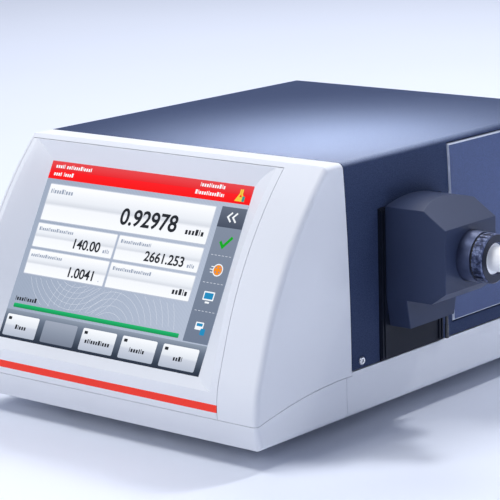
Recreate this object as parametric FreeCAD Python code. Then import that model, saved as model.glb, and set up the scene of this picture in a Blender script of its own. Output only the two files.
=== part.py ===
import FreeCAD, Part
import math
import os

V = FreeCAD.Vector

# Driving dimensions of the housing, in mm: X to the right, Y to the back, Z up from the bench
housing_width = 330.0
housing_depth = 458.5
housing_height = 230.5
body_bottom_z = 18.0
wall = 3.0
edge_round = 5.0
overrun = 2.0
panel_gap = 0.5
seam_gap = 0.9
hood_gap = 1.2
seat_gap = 0.2
running_gap = 0.05
part_gap = 0.3
half_width = housing_width / 2

# Curved front face, from its top edge down to its chin
top_edge_y = 91.0
face_foot_y = 10.0
face_foot_z = 100.0
face_bulge = 8.8
face_straight = 28.0
chin_radius = 84.0

# Seam between the front housing and the hood, an arc that leans back going down
seam_top_y = 111.8
seam_mid_lean = 5.5
seam_low_lean = 7.2
seam_mid_z = 150.0
seam_mid_y = seam_top_y + seam_mid_lean
seam_low_y = seam_top_y + seam_low_lean

# Parting line above the base, an arc on the side up to the seam, a step up and level behind it
parting_front_z = 38.5
parting_mid_y = 40.0
parting_mid_z = 47.3
parting_seam_z = 53.0
base_top_z = 56.0
base_split_y = seam_top_y

# Display insert with its mitred recess
insert_left_margin = 5.0
insert_top_margin = 3.5
cheek_width = 40.5
ledge_width = 2.5
recess_left_margin = 5.0
recess_right_margin = 7.5
recess_top_margin = 5.6
recess_top_setback = 4.2
recess_low_y = -2.5
recess_low_z = 60.0
recess_reach = 40.0
funnel_wall = 4.0
screen_left_margin = 19.0
screen_right_margin = 23.0
screen_top_margin = 22.0
screen_top_setback = 4.5
screen_low_y = 10.0
screen_low_z = 66.0
insert_left_x = insert_left_margin - half_width
insert_right_x = half_width - cheek_width
insert_top_z = housing_height - insert_top_margin
recess_left_x = insert_left_x + recess_left_margin
recess_right_x = insert_right_x - recess_right_margin
recess_top_y = top_edge_y - recess_top_setback
recess_top_z = housing_height - recess_top_margin
screen_left_x = recess_left_x + screen_left_margin
screen_right_x = recess_right_x - screen_right_margin
screen_top_y = top_edge_y - screen_top_setback
screen_top_z = housing_height - screen_top_margin

# Screen stack behind the recess
glass_margin = 5.0
glass_thickness = 3.0
gasket_thickness = 1.0
gasket_width = 4.0
lcd_thickness = 8.0
board_thickness = 1.6
display_stud_length = 6.0
display_stud_radius = 2.5
display_stud_inset = 12.0

# Red accent strip under the display
strip_low_z = 44.3
strip_high_z = 50.6
strip_thickness = 0.8
strip_margin = 0.3

# Hood, rear opening and the access panel on its right side
rear_frame = 9.0
access_front_shift = 142.5
access_rear_margin = 10.5
access_low_z = 68.0
access_top_margin = 4.5
access_corner = 6.0
access_gap = 1.2
access_proud = 1.0
access_bevel = 1.4
access_lip = 5.0
access_lip_thickness = 2.0
rear_thickness = 2.0
rear_low_z = 30.0
access_rear_y = housing_depth - access_rear_margin
access_top_z = housing_height - access_top_margin

# Base pan
base_rib_count = 5
rib_height = 5.0
rib_width = 2.0
boss_radius = 5.0
boss_height = 6.0
chassis_thickness = 2.0
chassis_flange = 12.0
chassis_front_gap = 9.0
chassis_rear_margin = 18.5
chassis_margin = 9.0
boss_inset = 22.0
tab_thickness = 4.0
tab_half_width = 8.0
tab_low_z = 46.0
vent_rows = 9
vent_front_gap = 61.0
vent_pitch = 9.0
vent_length = 62.0
vent_width = 3.5
vent_centre_x = 72.0
chassis_front_y = seam_low_y + chassis_front_gap
chassis_rear_y = housing_depth - chassis_rear_margin
chassis_half_width = half_width - chassis_margin
base_rib_pitch = 2 * chassis_half_width / (base_rib_count + 1)
foot_x = chassis_half_width - base_rib_pitch
vent_front_y = seam_low_y + vent_front_gap

# Feet and fasteners
foot_radius = 11.0
foot_flare = 3.0
foot_front_y = 64.0
foot_rear_margin = 30.5
foot_screw_radius = 2.0
foot_recess_depth = 5.0
screw_head_radius = 3.6
screw_head_height = 1.6
screw_shank_radius = 1.9
screw_socket_radius = 1.5
side_screw_gap = 13.0
side_screw_z = 63.0
side_screw_rear_margin = 22.5
foot_rear_y = housing_depth - foot_rear_margin
side_screw_y = seam_low_y + side_screw_gap
side_screw_rear_y = housing_depth - side_screw_rear_margin

# Mounting plate and sample adapter on the right side
axis_gap = 82.3
axis_drop = 84.5
axis_y = seam_low_y + axis_gap
axis_z = housing_height - axis_drop
plate_half_width = 44.5
plate_foot_gap = 0.5
plate_rise = 40.0
plate_thickness = 4.5
plate_proud = 1.5
plate_rib_height = 1.2
plate_rib_width = 1.6
plate_rib_pitch = 4.0
plate_rib_count = 2
plate_flange = 4.0
plate_flange_thickness = 2.0
cover_half_width = 36.4
cover_wall = 3.0
cover_drop = 36.5
cover_side_rise = 40.5
cover_crown = 5.5
cover_reach = 61.5
cover_face_drop = 26.2
cover_face_rise = 26.6
cover_step_x = 47.0
cover_chamfer_share = 0.66
guard_drop = 61.0
guard_reach = 22.6
guard_taper = 5.0
cover_hole_radius = 21.5
cover_edge_round = 0.8
plate_low_z = base_top_z + plate_foot_gap
plate_high_z = axis_z + plate_rise
cover_low_z = axis_z - cover_drop
cover_side_top_z = axis_z + cover_side_rise
cover_face_low_z = axis_z - cover_face_drop
cover_face_top_z = axis_z + cover_face_rise
guard_low_z = axis_z - guard_drop

# Sample inlet: block, collar, seal, locking ring and filling nozzle
block_reach = 50.0
block_half_width = 31.0
block_drop = 28.0
block_rise = 26.0
block_edge = 3.0
collar_radius = 21.0
collar_reach = 73.8
spigot_radius = 16.5
spigot_reach = 84.0
seal_width = 1.5
seal_depth = 1.2
ring_radius = 20.7
ring_reach = 85.8
ring_mouth_radius = 13.6
ring_lip = 1.6
ring_round = 1.2
knurl_count = 28
knurl_depth = 0.6
knurl_width = 1.6
flange_radius = 12.8
flange_back = 71.0
flange_front = 84.0
stem_radius = 8.0
stem_back = 52.0
barrel_radius = 10.2
barrel_reach = 110.0
luer_radius = 2.1
luer_depth = 14.0
flow_radius = 1.0
nozzle_gap = 0.12
block_low_z = axis_z - block_drop
block_high_z = axis_z + block_rise

# Drain tube under the inlet block
drain_x = 17.9
drain_offset = 26.7
drain_radius = 1.3
drain_bore_radius = 0.8
drain_tip_radius = 1.7
drain_tip_length = 12.0
drain_drop = 82.0
drain_elbow_drop = 20.0
drain_y = axis_y + drain_offset
drain_low_z = axis_z - drain_drop
drain_elbow_z = axis_z - drain_elbow_drop

# Measuring cell behind the plate
leg_spread = 9.0
leg_radius = 2.2
leg_bore = 1.5
leg_seat = 4.0
cell_length = 98.0
cell_half_width = 30.0
cell_half_height = 26.0
cell_wall = 8.0
cell_cavity_half = 17.0
cell_cavity_height = 8.0
peltier_count = 2
peltier_size = 36.0
peltier_inset = 6.0
peltier_thickness = 4.0
sink_half_width = 36.0
sink_base = 5.0
sink_fins = 12
sink_fin = 1.6
sink_foot = 10.0
bracket_thickness = 2.0
bracket_foot = 10.0
foam_wall = 8.0
cell_front_x = half_width - wall - plate_flange_thickness
cell_back_x = cell_front_x - cell_length
cell_low_z = axis_z - cell_half_height
cell_top_z = axis_z + cell_half_height

# Electronics and air supply on the chassis
board_margin = 30.0
board_left_x = board_margin - chassis_half_width
board_width = 120.0
board_front_gap = 12.0
board_rear_gap = 18.0
board_front_y = chassis_front_y + board_front_gap
board_part_height = 10.0
board_part_shares = [(0.1, 0.12, 0.22, 0.16, 0.4), (0.45, 0.1, 0.28, 0.2, 1.6),
                     (0.12, 0.4, 0.2, 0.12, 0.3),
                     (0.5, 0.45, 0.12, 0.3, 0.8), (0.72, 0.4, 0.14, 0.12, 1.2),
                     (0.1, 0.75, 0.5, 0.08, 1.0),
                     (0.75, 0.7, 0.12, 0.12, 0.5)]
stud_inset = 6.0
stud_radius = 3.0
stud_height = 8.0
supply_left_x = board_left_x
supply_width = 86.0
supply_depth = 100.0
supply_height = 42.0
supply_edge = 2.0
supply_slots = 8
supply_slot = 3.0
supply_slot_inset = 10.0
supply_rear_y = chassis_rear_y - boss_inset
board_depth = supply_rear_y - supply_depth - board_rear_gap - board_front_y
pump_radius = 16.0
pump_foot = 3.0
pump_rear_margin = 62.0
pump_length = 48.0
pump_head = 18.0
pump_port_radius = 3.0
pump_port_height = 4.0
dryer_margin = 60.0
dryer_radius = 17.0
dryer_rear_margin = 32.0
dryer_length = 96.0
dryer_cap = 38.0
dryer_cap_length = 10.0
dryer_x = chassis_half_width - dryer_margin
dryer_front_y = chassis_rear_y - dryer_rear_margin - dryer_length
pump_x = (supply_left_x + supply_width + dryer_x - dryer_cap / 2) / 2
pump_front_y = chassis_rear_y - pump_rear_margin - pump_length

# Rear panel: fan, sockets and hose nipples
socket_z = 86.0
socket_wall = 0.8
socket_flange = 2.0
socket_proud = 0.6
fan_margin = 77.0
fan_size = 80.0
fan_depth = 25.0
fan_corner = 4.0
fan_duct_radius = 37.5
fan_hub_radius = 15.0
fan_shaft_radius = 2.0
fan_tip_gap = 1.2
fan_strut = 3.0
fan_strut_count = 4
fan_strut_turn = 45.0
fan_blades = 7
fan_blade = 1.8
fan_pitch_angle = 38.0
guard_thickness = 1.6
guard_rings = 4
guard_pitch = 9.0
guard_bar = 2.0
inlet_margin = 43.0
inlet_width = 27.0
inlet_height = 20.0
inlet_depth = 24.0
inlet_flange_width = 48.0
inlet_flange_height = 25.0
inlet_flange_thickness = 3.0
inlet_corner = 4.0
cavity_width = 24.0
cavity_height = 16.4
cavity_depth = 18.0
cavity_slant = 4.5
blade_pitch = 7.0
blade_lift = 2.0
blade_width = 2.0
blade_height = 4.0
blade_recess = 5.0
switch_pitch = 56.0
switch_width = 13.0
switch_height = 19.0
switch_depth = 16.0
switch_rim = 2.0
rocker_width = 10.0
rocker_radius = 7.5
rocker_sink = 1.5
rocker_tilt = 6.0
rocker_pin_radius = 1.2
rocker_pin_length = 1.2
usb_gap = 50.0
usb_count = 2
usb_pitch = 22.0
usb_width = 14.5
usb_height = 7.0
usb_depth = 12.0
usb_tongue = 1.8
network_gap = 30.0
network_width = 16.0
network_height = 13.5
network_depth = 14.0
network_wall = 2.0
network_cavity = 11.0
serial_gap = 40.0
serial_width = 19.0
serial_height = 12.5
serial_depth = 8.0
serial_ear = 6.0
serial_collar = 5.5
serial_slant_share = 0.2
port_margin = 6.5
port_lip = 3.0
port_lip_thickness = 1.2
nipple_margin = 59.0
nipple_z = 140.0
nipple_count = 2
nipple_pitch = 26.0
nipple_radius = 2.5
nipple_thread_radius = 4.0
nipple_hex_radius = 6.5
nipple_hex_length = 4.0
nipple_reach = 18.0
nipple_nut = 4.0
nipple_bore = 1.2
fan_x = fan_margin - half_width
fan_z = (socket_z + inlet_flange_height / 2 + housing_height - wall) / 2
inlet_x = inlet_margin - half_width
switch_x = inlet_x + switch_pitch
usb_x = switch_x + usb_gap
network_x = usb_x + usb_pitch + network_gap
serial_x = network_x + serial_gap
nipple_x = half_width - nipple_margin

floor_z = body_bottom_z + wall
chassis_z = floor_z + boss_height
floor_top = chassis_z + chassis_thickness
panel_back_y = housing_depth - wall
panel_front_y = panel_back_y - rear_thickness


# Points and shapes of the front profile
def unit(vector):
    return vector / vector.Length


def yz(y, z, x=0.0):
    return V(x, y, z)


def polar(centre, direction, radius):
    return centre + direction * radius


top_point = yz(top_edge_y, housing_height)
foot_point = yz(face_foot_y, face_foot_z)
face_chord = foot_point - top_point
face_radius = (face_chord.Length ** 2 / 4 + face_bulge ** 2) / (2 * face_bulge)
face_inward = unit(yz(-face_chord.z, face_chord.y))
face_centre = (top_point + foot_point) / 2 + face_inward * (face_radius - face_bulge)
foot_normal = unit(foot_point - face_centre)
foot_down = unit(yz(-foot_normal.z, foot_normal.y))
chin_start = foot_point + foot_down * face_straight
chin_centre = chin_start - foot_normal * chin_radius


def chin_y(z, inset=0.0):
    radius = chin_radius - inset
    return chin_centre.y - math.sqrt(radius ** 2 - (z - chin_centre.z) ** 2)


def face_y(z, inset=0.0):
    radius = face_radius - inset
    return face_centre.y - math.sqrt(radius ** 2 - (z - face_centre.z) ** 2)


def face_edges(inset, low_z, x=0.0):
    """Edges of the front profile from its top edge down to low_z, moved inwards by inset."""
    shift = V(x, 0, 0)
    high_z = housing_height - inset
    middle_z = (high_z + face_foot_z) / 2
    start = yz(face_y(high_z, inset), high_z, x)
    middle = yz(face_y(middle_z, inset), middle_z, x)
    end = polar(face_centre, foot_normal, face_radius - inset) + shift
    chin_top = polar(chin_centre, foot_normal, chin_radius - inset) + shift
    low = yz(chin_y(low_z, inset), low_z, x)
    half_z = (low_z + chin_top.z) / 2
    chin_middle = yz(chin_y(half_z, inset), half_z, x)
    return [Part.Arc(start, middle, end).toShape(), Part.makeLine(end, chin_top),
            Part.Arc(chin_top, chin_middle, low).toShape()]


def box(x0, x1, y0, y1, z0, z1):
    return Part.makeBox(x1 - x0, y1 - y0, z1 - z0, V(x0, y0, z0))


def prism_x(points, x0, x1):
    """Straight-sided prism along X through (y, z) points."""
    wire = Part.makePolygon([yz(y, z, x0) for y, z in points] + [yz(points[0][0], points[0][1], x0)])
    return Part.Face(wire).extrude(V(x1 - x0, 0, 0))


def prism_y(points, y0, y1):
    """Straight-sided prism along Y through (x, z) points."""
    wire = Part.makePolygon([V(x, y0, z) for x, z in points] + [V(points[0][0], y0, points[0][1])])
    return Part.Face(wire).extrude(V(0, y1 - y0, 0))


def rod_x(y, z, radius, x0, x1):
    return Part.makeCylinder(radius, x1 - x0, V(x0, y, z), V(1, 0, 0))


def rod_y(x, z, radius, y0, y1):
    return Part.makeCylinder(radius, y1 - y0, V(x, y0, z), V(0, 1, 0))


def rod_z(x, y, radius, z0, z1):
    return Part.makeCylinder(radius, z1 - z0, V(x, y, z0), V(0, 0, 1))


def rounded_box(x0, x1, y0, y1, z0, z1, radius, along):
    """Box whose four edges along one axis are rounded."""
    solid = box(x0, x1, y0, y1, z0, z1)
    axis = {"x": V(1, 0, 0), "y": V(0, 1, 0), "z": V(0, 0, 1)}[along]
    edges = [e for e in solid.Edges if abs(abs(e.tangentAt(e.FirstParameter).dot(axis)) - 1) < 1e-6]
    return solid.makeFillet(radius, edges)


def fuse_all(shapes):
    if len(shapes) == 1:
        return shapes[0]
    return shapes[0].multiFuse(shapes[1:]).removeSplitter()


def body_form(inset):
    """The instrument's outer form, or its inner face when moved inwards by inset."""
    edges = face_edges(inset, body_bottom_z + inset, -half_width + inset)
    crown = edges[0].Vertexes[0].Point
    low = edges[-1].Vertexes[-1].Point
    back_y = housing_depth - inset
    outline = [low, yz(back_y, low.z, low.x), yz(back_y, crown.z, low.x), crown]
    lines = [Part.makeLine(a, b) for a, b in zip(outline[:-1], outline[1:])]
    profile = Part.Wire(Part.__sortEdges__(edges + lines))
    left = Part.Face(profile).extrude(V(half_width - inset, 0, 0))
    rounded = [e for e in left.Edges if abs(e.CenterOfMass.x + half_width - inset) < running_gap]
    left = left.makeFillet(edge_round - inset, rounded)
    right = left.mirror(V(0, 0, 0), V(1, 0, 0))
    return left.fuse(right).removeSplitter()


def seam_region(shift, x0, x1, front_y, rear_y, before):
    """Space before or behind the leaning seam arc, which shift moves along Y."""
    top = yz(seam_top_y + shift, housing_height, x0)
    middle = yz(seam_mid_y + shift, seam_mid_z, x0)
    low = yz(seam_low_y + shift, base_top_z, x0)
    above = top + V(0, 0, overrun)
    below = yz(low.y, body_bottom_z - overrun, x0)
    far_y = front_y if before else rear_y
    corners = [below, yz(far_y, below.z, x0), yz(far_y, above.z, x0), above]
    lines = [Part.makeLine(a, b) for a, b in zip(corners[:-1], corners[1:])]
    lines.append(Part.makeLine(above, top))
    lines.append(Part.makeLine(low, below))
    wire = Part.Wire(Part.__sortEdges__([Part.Arc(top, middle, low).toShape()] + lines))
    return Part.Face(wire).extrude(V(x1 - x0, 0, 0))


def above_parting(lift):
    """Space above the curved parting line of the base."""
    front = yz(-housing_depth, parting_front_z + lift, -housing_width)
    start = yz(chin_y(parting_front_z), parting_front_z + lift, -housing_width)
    middle = yz(parting_mid_y, parting_mid_z + lift, -housing_width)
    end = yz(seam_low_y, parting_seam_z + lift, -housing_width)
    step = yz(seam_low_y, base_top_z + lift, -housing_width)
    back = yz(2 * housing_depth, base_top_z + lift, -housing_width)
    back_up = back + V(0, 0, housing_height)
    front_up = yz(front.y, back_up.z, -housing_width)
    arc = Part.Arc(start, middle, end).toShape()
    corners = [end, step, back, back_up, front_up, front, start]
    lines = [Part.makeLine(a, b) for a, b in zip(corners[:-1], corners[1:])]
    wire = Part.Wire(Part.__sortEdges__([arc] + lines))
    return Part.Face(wire).extrude(V(2 * housing_width, 0, 0))


outer = body_form(0.0)
inner = body_form(wall)
inner_grown = body_form(wall / 2)
shell = outer.cut(inner)
front_zone = seam_region(-seam_gap / 2, -housing_width, housing_width, -housing_depth, 0, True)
hood_zone = seam_region(seam_gap / 2, -housing_width, housing_width, 0, 2 * housing_depth, False)
upper_zone = above_parting(panel_gap / 2)
lower_zone = box(-housing_width, housing_width, -housing_depth, 2 * housing_depth,
                 body_bottom_z - overrun, housing_height).cut(above_parting(-panel_gap / 2))


# Display recess, worked in the screen's own plane
screen_low = yz(screen_low_y, screen_low_z)
screen_top = yz(screen_top_y, screen_top_z)
screen_along = unit(screen_top - screen_low)
screen_out = yz(-screen_along.z, screen_along.y)
screen_height = (screen_top - screen_low).Length


def screen_frame(point):
    """Distance along and out of the screen plane of a point of the YZ plane."""
    offset = point - screen_low
    return offset.dot(screen_along), offset.dot(screen_out)


def screen_point(x, along, out):
    return V(x, 0, 0) + screen_low + screen_along * along + screen_out * out


def face_section(x, straight):
    """Wire from the front profile, or the screen plane, out to a far parallel line."""
    low_z = recess_low_z - funnel_wall * 2
    curved = face_edges(0.0, low_z, x)
    marks = [screen_frame(e.Vertexes[0].Point - V(x, 0, 0))[0] for e in curved]
    marks.append(screen_frame(curved[-1].Vertexes[-1].Point - V(x, 0, 0))[0])
    ends = [screen_point(x, marks[0], recess_reach), screen_point(x, marks[-1], recess_reach)]
    if straight:
        points = [screen_point(x, mark, 0) for mark in marks]
        near = [Part.makeLine(a, b) for a, b in zip(points[:-1], points[1:])]
    else:
        points = [curved[0].Vertexes[0].Point, curved[-1].Vertexes[-1].Point]
        near = curved
    rest = [Part.makeLine(points[-1], ends[1]), Part.makeLine(ends[1], ends[0]),
            Part.makeLine(ends[0], points[0])]
    return Part.Wire(near + rest)


def recess_form(grow):
    """Mitred funnel from the screen out to the recess edge, its sides moved out by grow."""
    left = face_section(screen_left_x - grow, True)
    right = face_section(screen_right_x + grow, True)
    outer_left = face_section(recess_left_x - grow, False)
    outer_right = face_section(recess_right_x + grow, False)
    pieces = [Part.makeLoft([left, right], True, True), Part.makeLoft([right, outer_right], True, True),
              Part.makeLoft([outer_left, left], True, True)]
    sides = fuse_all(pieces)
    top_along, top_out = screen_frame(yz(recess_top_y, recess_top_z))
    low_along, low_out = screen_frame(yz(recess_low_y, recess_low_z))
    reach_top = screen_height + grow + (top_along - screen_height) * recess_reach / top_out
    reach_low = -grow + low_along * recess_reach / low_out
    corners = [(screen_height + grow, 0), (reach_top, recess_reach), (reach_low, recess_reach),
               (-grow, 0)]
    points = [screen_point(-housing_width, along, out) for along, out in corners]
    wedge = Part.Face(Part.makePolygon(points + [points[0]])).extrude(V(2 * housing_width, 0, 0))
    return sides.common(wedge)


def screen_slab(grow, near, far):
    """Rectangular slab behind the screen plane, from depth near to depth far."""
    corners = [(-grow, -near), (screen_height + grow, -near), (screen_height + grow, -far),
               (-grow, -far)]
    points = [screen_point(screen_left_x - grow, along, out) for along, out in corners]
    length = screen_right_x - screen_left_x + 2 * grow
    return Part.Face(Part.makePolygon(points + [points[0]])).extrude(V(length, 0, 0))


def window(shrink):
    """Space of the display insert in front view, made smaller by shrink."""
    return box(insert_left_x + shrink, insert_right_x - shrink, -housing_depth, seam_top_y,
               parting_front_z - housing_height, insert_top_z - shrink)


def front_housing():
    body = shell.common(front_zone).common(upper_zone).cut(window(0.0).common(upper_zone))
    ledge = inner.cut(body_form(wall + ledge_width / 2))
    ledge = ledge.common(window(-ledge_width)).cut(window(ledge_width)).common(upper_zone)
    ledge = ledge.common(front_zone)
    return body.fuse(ledge).removeSplitter()


def display_insert():
    core = body_form(wall - seat_gap)
    skin = outer.cut(core).common(window(panel_gap)).common(upper_zone)
    funnel = recess_form(funnel_wall).common(outer).common(window(panel_gap))
    funnel = funnel.cut(core.cut(window(ledge_width + part_gap)))
    insert = skin.fuse(funnel).cut(recess_form(0.0))
    return insert.cut(strip_band(0.0, strip_thickness))


def strip_band(near, far):
    """Band of the front face for the accent strip, between two depths."""
    band = body_form(near).cut(body_form(far))
    return band.common(box(insert_left_x, insert_right_x - strip_margin, -housing_depth, face_foot_y,
                           strip_low_z, strip_high_z))


def accent_strip():
    band = strip_band(0.0, strip_thickness - running_gap)
    return band.common(window(panel_gap + strip_margin))


def touch_glass():
    return screen_slab(glass_margin, 0, glass_thickness)


def display_gasket():
    start = glass_thickness
    end = start + gasket_thickness
    ring = screen_slab(glass_margin, start, end)
    return ring.cut(screen_slab(glass_margin - gasket_width, start - overrun, end + overrun))


def display_panel():
    start = glass_thickness + gasket_thickness
    return screen_slab(glass_margin, start, start + lcd_thickness)


def display_board():
    start = glass_thickness + gasket_thickness + lcd_thickness
    board = screen_slab(-display_stud_inset / 2, start + display_stud_length,
                        start + display_stud_length + board_thickness)
    studs = []
    for x in (screen_left_x + display_stud_inset, screen_right_x - display_stud_inset):
        for along in (display_stud_inset, screen_height - display_stud_inset):
            foot = screen_point(x, along, -start)
            studs.append(Part.makeCylinder(display_stud_radius, display_stud_length, foot,
                                           screen_out * -1))
    return fuse_all([board] + studs)


# Base, hood and panels
foot_places = [(x, y) for x in (-foot_x, foot_x) for y in (foot_front_y, foot_rear_y)]


def foot_boss(x, y):
    return rod_z(x, y, boss_radius, floor_z - wall / 2, floor_z + boss_height)


def foot_holes():
    return fuse_all([rod_z(x, y, foot_screw_radius + part_gap, body_bottom_z - overrun,
                           floor_z + boss_height + overrun) for x, y in foot_places])


def front_base():
    limits = box(-housing_width, housing_width, -housing_depth, base_split_y - panel_gap / 2,
                 0, housing_height)
    body = shell.common(lower_zone).common(limits)
    bosses = [foot_boss(x, y) for x, y in foot_places if y == foot_front_y]
    ribs = []
    rear_y = base_split_y - panel_gap / 2
    for x in base_rib_places():
        rib = box(x - rib_width / 2, x + rib_width / 2, chin_centre.y - chin_radius, rear_y,
                  floor_z - wall / 2, floor_z + rib_height)
        ribs.append(rib.common(inner_grown))
    return fuse_all([body] + bosses + ribs).cut(foot_holes())


def base_rib_places():
    return [-chassis_half_width + base_rib_pitch * (i + 1) for i in range(base_rib_count)]


def chassis_bosses():
    near = chassis_half_width - boss_inset
    rows = (chassis_front_y + boss_inset, chassis_rear_y - boss_inset)
    return [(x, y) for x in (-near, near) for y in rows]


def screw_tab(side, y):
    """Upright tab of the base pan that a hood screw bites into."""
    near = side * (half_width - wall - seat_gap)
    far = near - side * tab_thickness
    low, high = sorted((near, far))
    tab = box(low, high, y - tab_half_width, y + tab_half_width, tab_low_z,
              side_screw_z + tab_half_width)
    root_far = side * (half_width - wall / 2)
    root_low, root_high = sorted((far, root_far))
    root = box(root_low, root_high, y - tab_half_width, y + tab_half_width,
               tab_low_z, base_top_z - panel_gap)
    hole = rod_x(y, side_screw_z, screw_shank_radius - seat_gap, low - overrun, high + overrun)
    return tab.fuse(root).cut(hole)


def base_pan():
    front_y = base_split_y + panel_gap / 2
    limits = box(-housing_width, housing_width, front_y, 2 * housing_depth, 0, housing_height)
    body = shell.common(lower_zone).common(limits)
    pieces = [body]
    pieces += [foot_boss(x, y) for x, y in foot_places if y == foot_rear_y]
    pieces += [rod_z(x, y, boss_radius, floor_z - wall / 2, chassis_z) for x, y in chassis_bosses()]
    pieces += [screw_tab(side, y) for side in (-1, 1) for y in (side_screw_y, side_screw_rear_y)]
    for x in base_rib_places():
        pieces.append(box(x - rib_width / 2, x + rib_width / 2, front_y, housing_depth - wall / 2,
                          floor_z - wall / 2, floor_z + rib_height))
    pan = fuse_all(pieces)
    for row in range(vent_rows):
        y = vent_front_y + row * vent_pitch
        for x in (-vent_centre_x, vent_centre_x):
            pan = pan.cut(box(x - vent_length / 2, x + vent_length / 2, y, y + vent_width,
                              body_bottom_z - overrun, floor_z + rib_height + overrun))
    return pan.cut(foot_holes())


def access_outline(gap, x0, x1):
    """Side opening behind the leaning front line, its edges moved inwards by gap."""
    body = rounded_box(x0, x1, seam_top_y, access_rear_y - gap, access_low_z + gap, access_top_z - gap,
                       access_corner, "x")
    zone = seam_region(access_front_shift + gap, x0, x1, 0, 2 * housing_depth, False)
    return body.common(zone)


def hood():
    body = shell.common(hood_zone).common(above_parting(hood_gap - panel_gap / 2))
    rear = box(-half_width + rear_frame, half_width - rear_frame, housing_depth - wall - overrun,
               housing_depth + overrun, 0, housing_height - rear_frame)
    plate_cut = box(half_width - wall - overrun, half_width + overrun, axis_y - plate_half_width,
                    axis_y + plate_half_width, plate_low_z, plate_high_z)
    body = body.cut(rear).cut(plate_cut)
    body = body.cut(access_outline(0.0, half_width - wall - overrun, half_width + overrun))
    lip_x = half_width - wall
    frame = access_outline(-access_lip, lip_x - access_lip_thickness, lip_x)
    frame = frame.cut(access_outline(access_lip, lip_x - access_lip_thickness - overrun,
                                     lip_x + overrun))
    frame = frame.common(inner_grown)
    body = body.fuse(frame)
    for side in (-1, 1):
        for y in (side_screw_y, side_screw_rear_y):
            low, high = sorted((side * (half_width - wall - overrun), side * (half_width + overrun)))
            body = body.cut(rod_x(y, side_screw_z, screw_shank_radius + part_gap, low, high))
            near = side * (half_width - wall - seat_gap)
            far = near - side * (tab_thickness + overrun)
            low, high = sorted((near, far))
            body = body.cut(box(low, high, y - tab_half_width - part_gap, y + tab_half_width + part_gap,
                                base_top_z, side_screw_z + tab_half_width + part_gap))
    return body


def side_access_panel():
    panel = access_outline(access_gap, half_width - wall, half_width + access_proud)
    rim = [e for e in panel.Edges if abs(e.CenterOfMass.x - half_width - access_proud) < running_gap
           and e.Length > access_corner]
    return panel.makeChamfer(access_bevel, rim)


def side_screws():
    screws = []
    for side in (-1, 1):
        for y in (side_screw_y, side_screw_rear_y):
            face_x = side * half_width
            inner_x = side * (half_width - wall - tab_thickness)
            head_x = side * (half_width + screw_head_height)
            low, high = sorted((inner_x, face_x))
            shank = rod_x(y, side_screw_z, screw_shank_radius - seat_gap, low, high)
            low, high = sorted((face_x, head_x))
            head = rod_x(y, side_screw_z, screw_head_radius, low, high)
            crown = [e for e in head.Edges if abs(e.CenterOfMass.x - head_x) < running_gap]
            head = head.makeChamfer(screw_head_height / 2, crown)
            low, high = sorted((head_x - side * screw_head_height / 2, head_x + side * overrun))
            socket = rod_x(y, side_screw_z, screw_socket_radius, low, high)
            screws.append(shank.fuse(head).cut(socket))
    return Part.makeCompound(screws)


def rear_panel():
    half = half_width - edge_round - part_gap
    back_y = housing_depth - wall
    panel = box(-half, half, back_y - rear_thickness, back_y, rear_low_z,
                housing_height - wall - part_gap)
    for cut in rear_cuts(back_y):
        panel = panel.cut(cut)
    return panel


def foot(x, y):
    """Rubber foot with a flared sole and a recess for its screw."""
    profile = Part.makePolygon([V(0, 0, body_bottom_z), V(foot_radius - foot_flare, 0, body_bottom_z),
                                V(foot_radius, 0, foot_flare), V(foot_radius - foot_flare / 2, 0, 0),
                                V(0, 0, 0), V(0, 0, body_bottom_z)])
    solid = Part.Face(profile).revolve(V(0, 0, 0), V(0, 0, 1), 360)
    solid.translate(V(x, y, 0))
    recess = rod_z(x, y, screw_head_radius + part_gap, -overrun, foot_recess_depth)
    hole = rod_z(x, y, foot_screw_radius + part_gap, 0, body_bottom_z + overrun)
    return solid.cut(recess).cut(hole)


def foot_screws():
    screws = []
    for x, y in foot_places:
        head = rod_z(x, y, screw_head_radius, foot_recess_depth - screw_head_height * 2,
                     foot_recess_depth)
        shank = rod_z(x, y, foot_screw_radius, foot_recess_depth, floor_z + boss_height)
        socket = rod_z(x, y, screw_socket_radius, 0, foot_recess_depth - screw_head_height)
        screws.append(head.fuse(shank).cut(socket))
    return Part.makeCompound(screws)


# Mounting plate and sample adapter
plate_face_x = half_width + plate_proud


def adapter_plate():
    back_x = half_width - wall
    low_y = axis_y - plate_half_width + panel_gap
    high_y = axis_y + plate_half_width - panel_gap
    plate = box(back_x, plate_face_x, low_y, high_y, plate_low_z + panel_gap, plate_high_z - panel_gap)
    flange = box(back_x - plate_flange_thickness, back_x, low_y - plate_flange, high_y + plate_flange,
                 plate_low_z - panel_gap, plate_high_z + plate_flange)
    ribs = []
    for side in (-1, 1):
        for i in range(plate_rib_count):
            y = axis_y + side * (plate_half_width - plate_rib_pitch / 2 - i * plate_rib_pitch)
            rib = box(plate_face_x, plate_face_x + plate_rib_height, y - plate_rib_width / 2,
                      y + plate_rib_width / 2, plate_low_z + plate_rib_pitch / 2,
                      plate_high_z - plate_rib_pitch / 2)
            ribs.append(rib)
    plate = fuse_all([plate, flange] + ribs)
    for side in (-1, 1):
        plate = plate.cut(rod_x(axis_y + side * leg_spread, axis_z, leg_radius + part_gap,
                                back_x - plate_flange_thickness - overrun, plate_face_x + overrun))
    return plate


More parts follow.
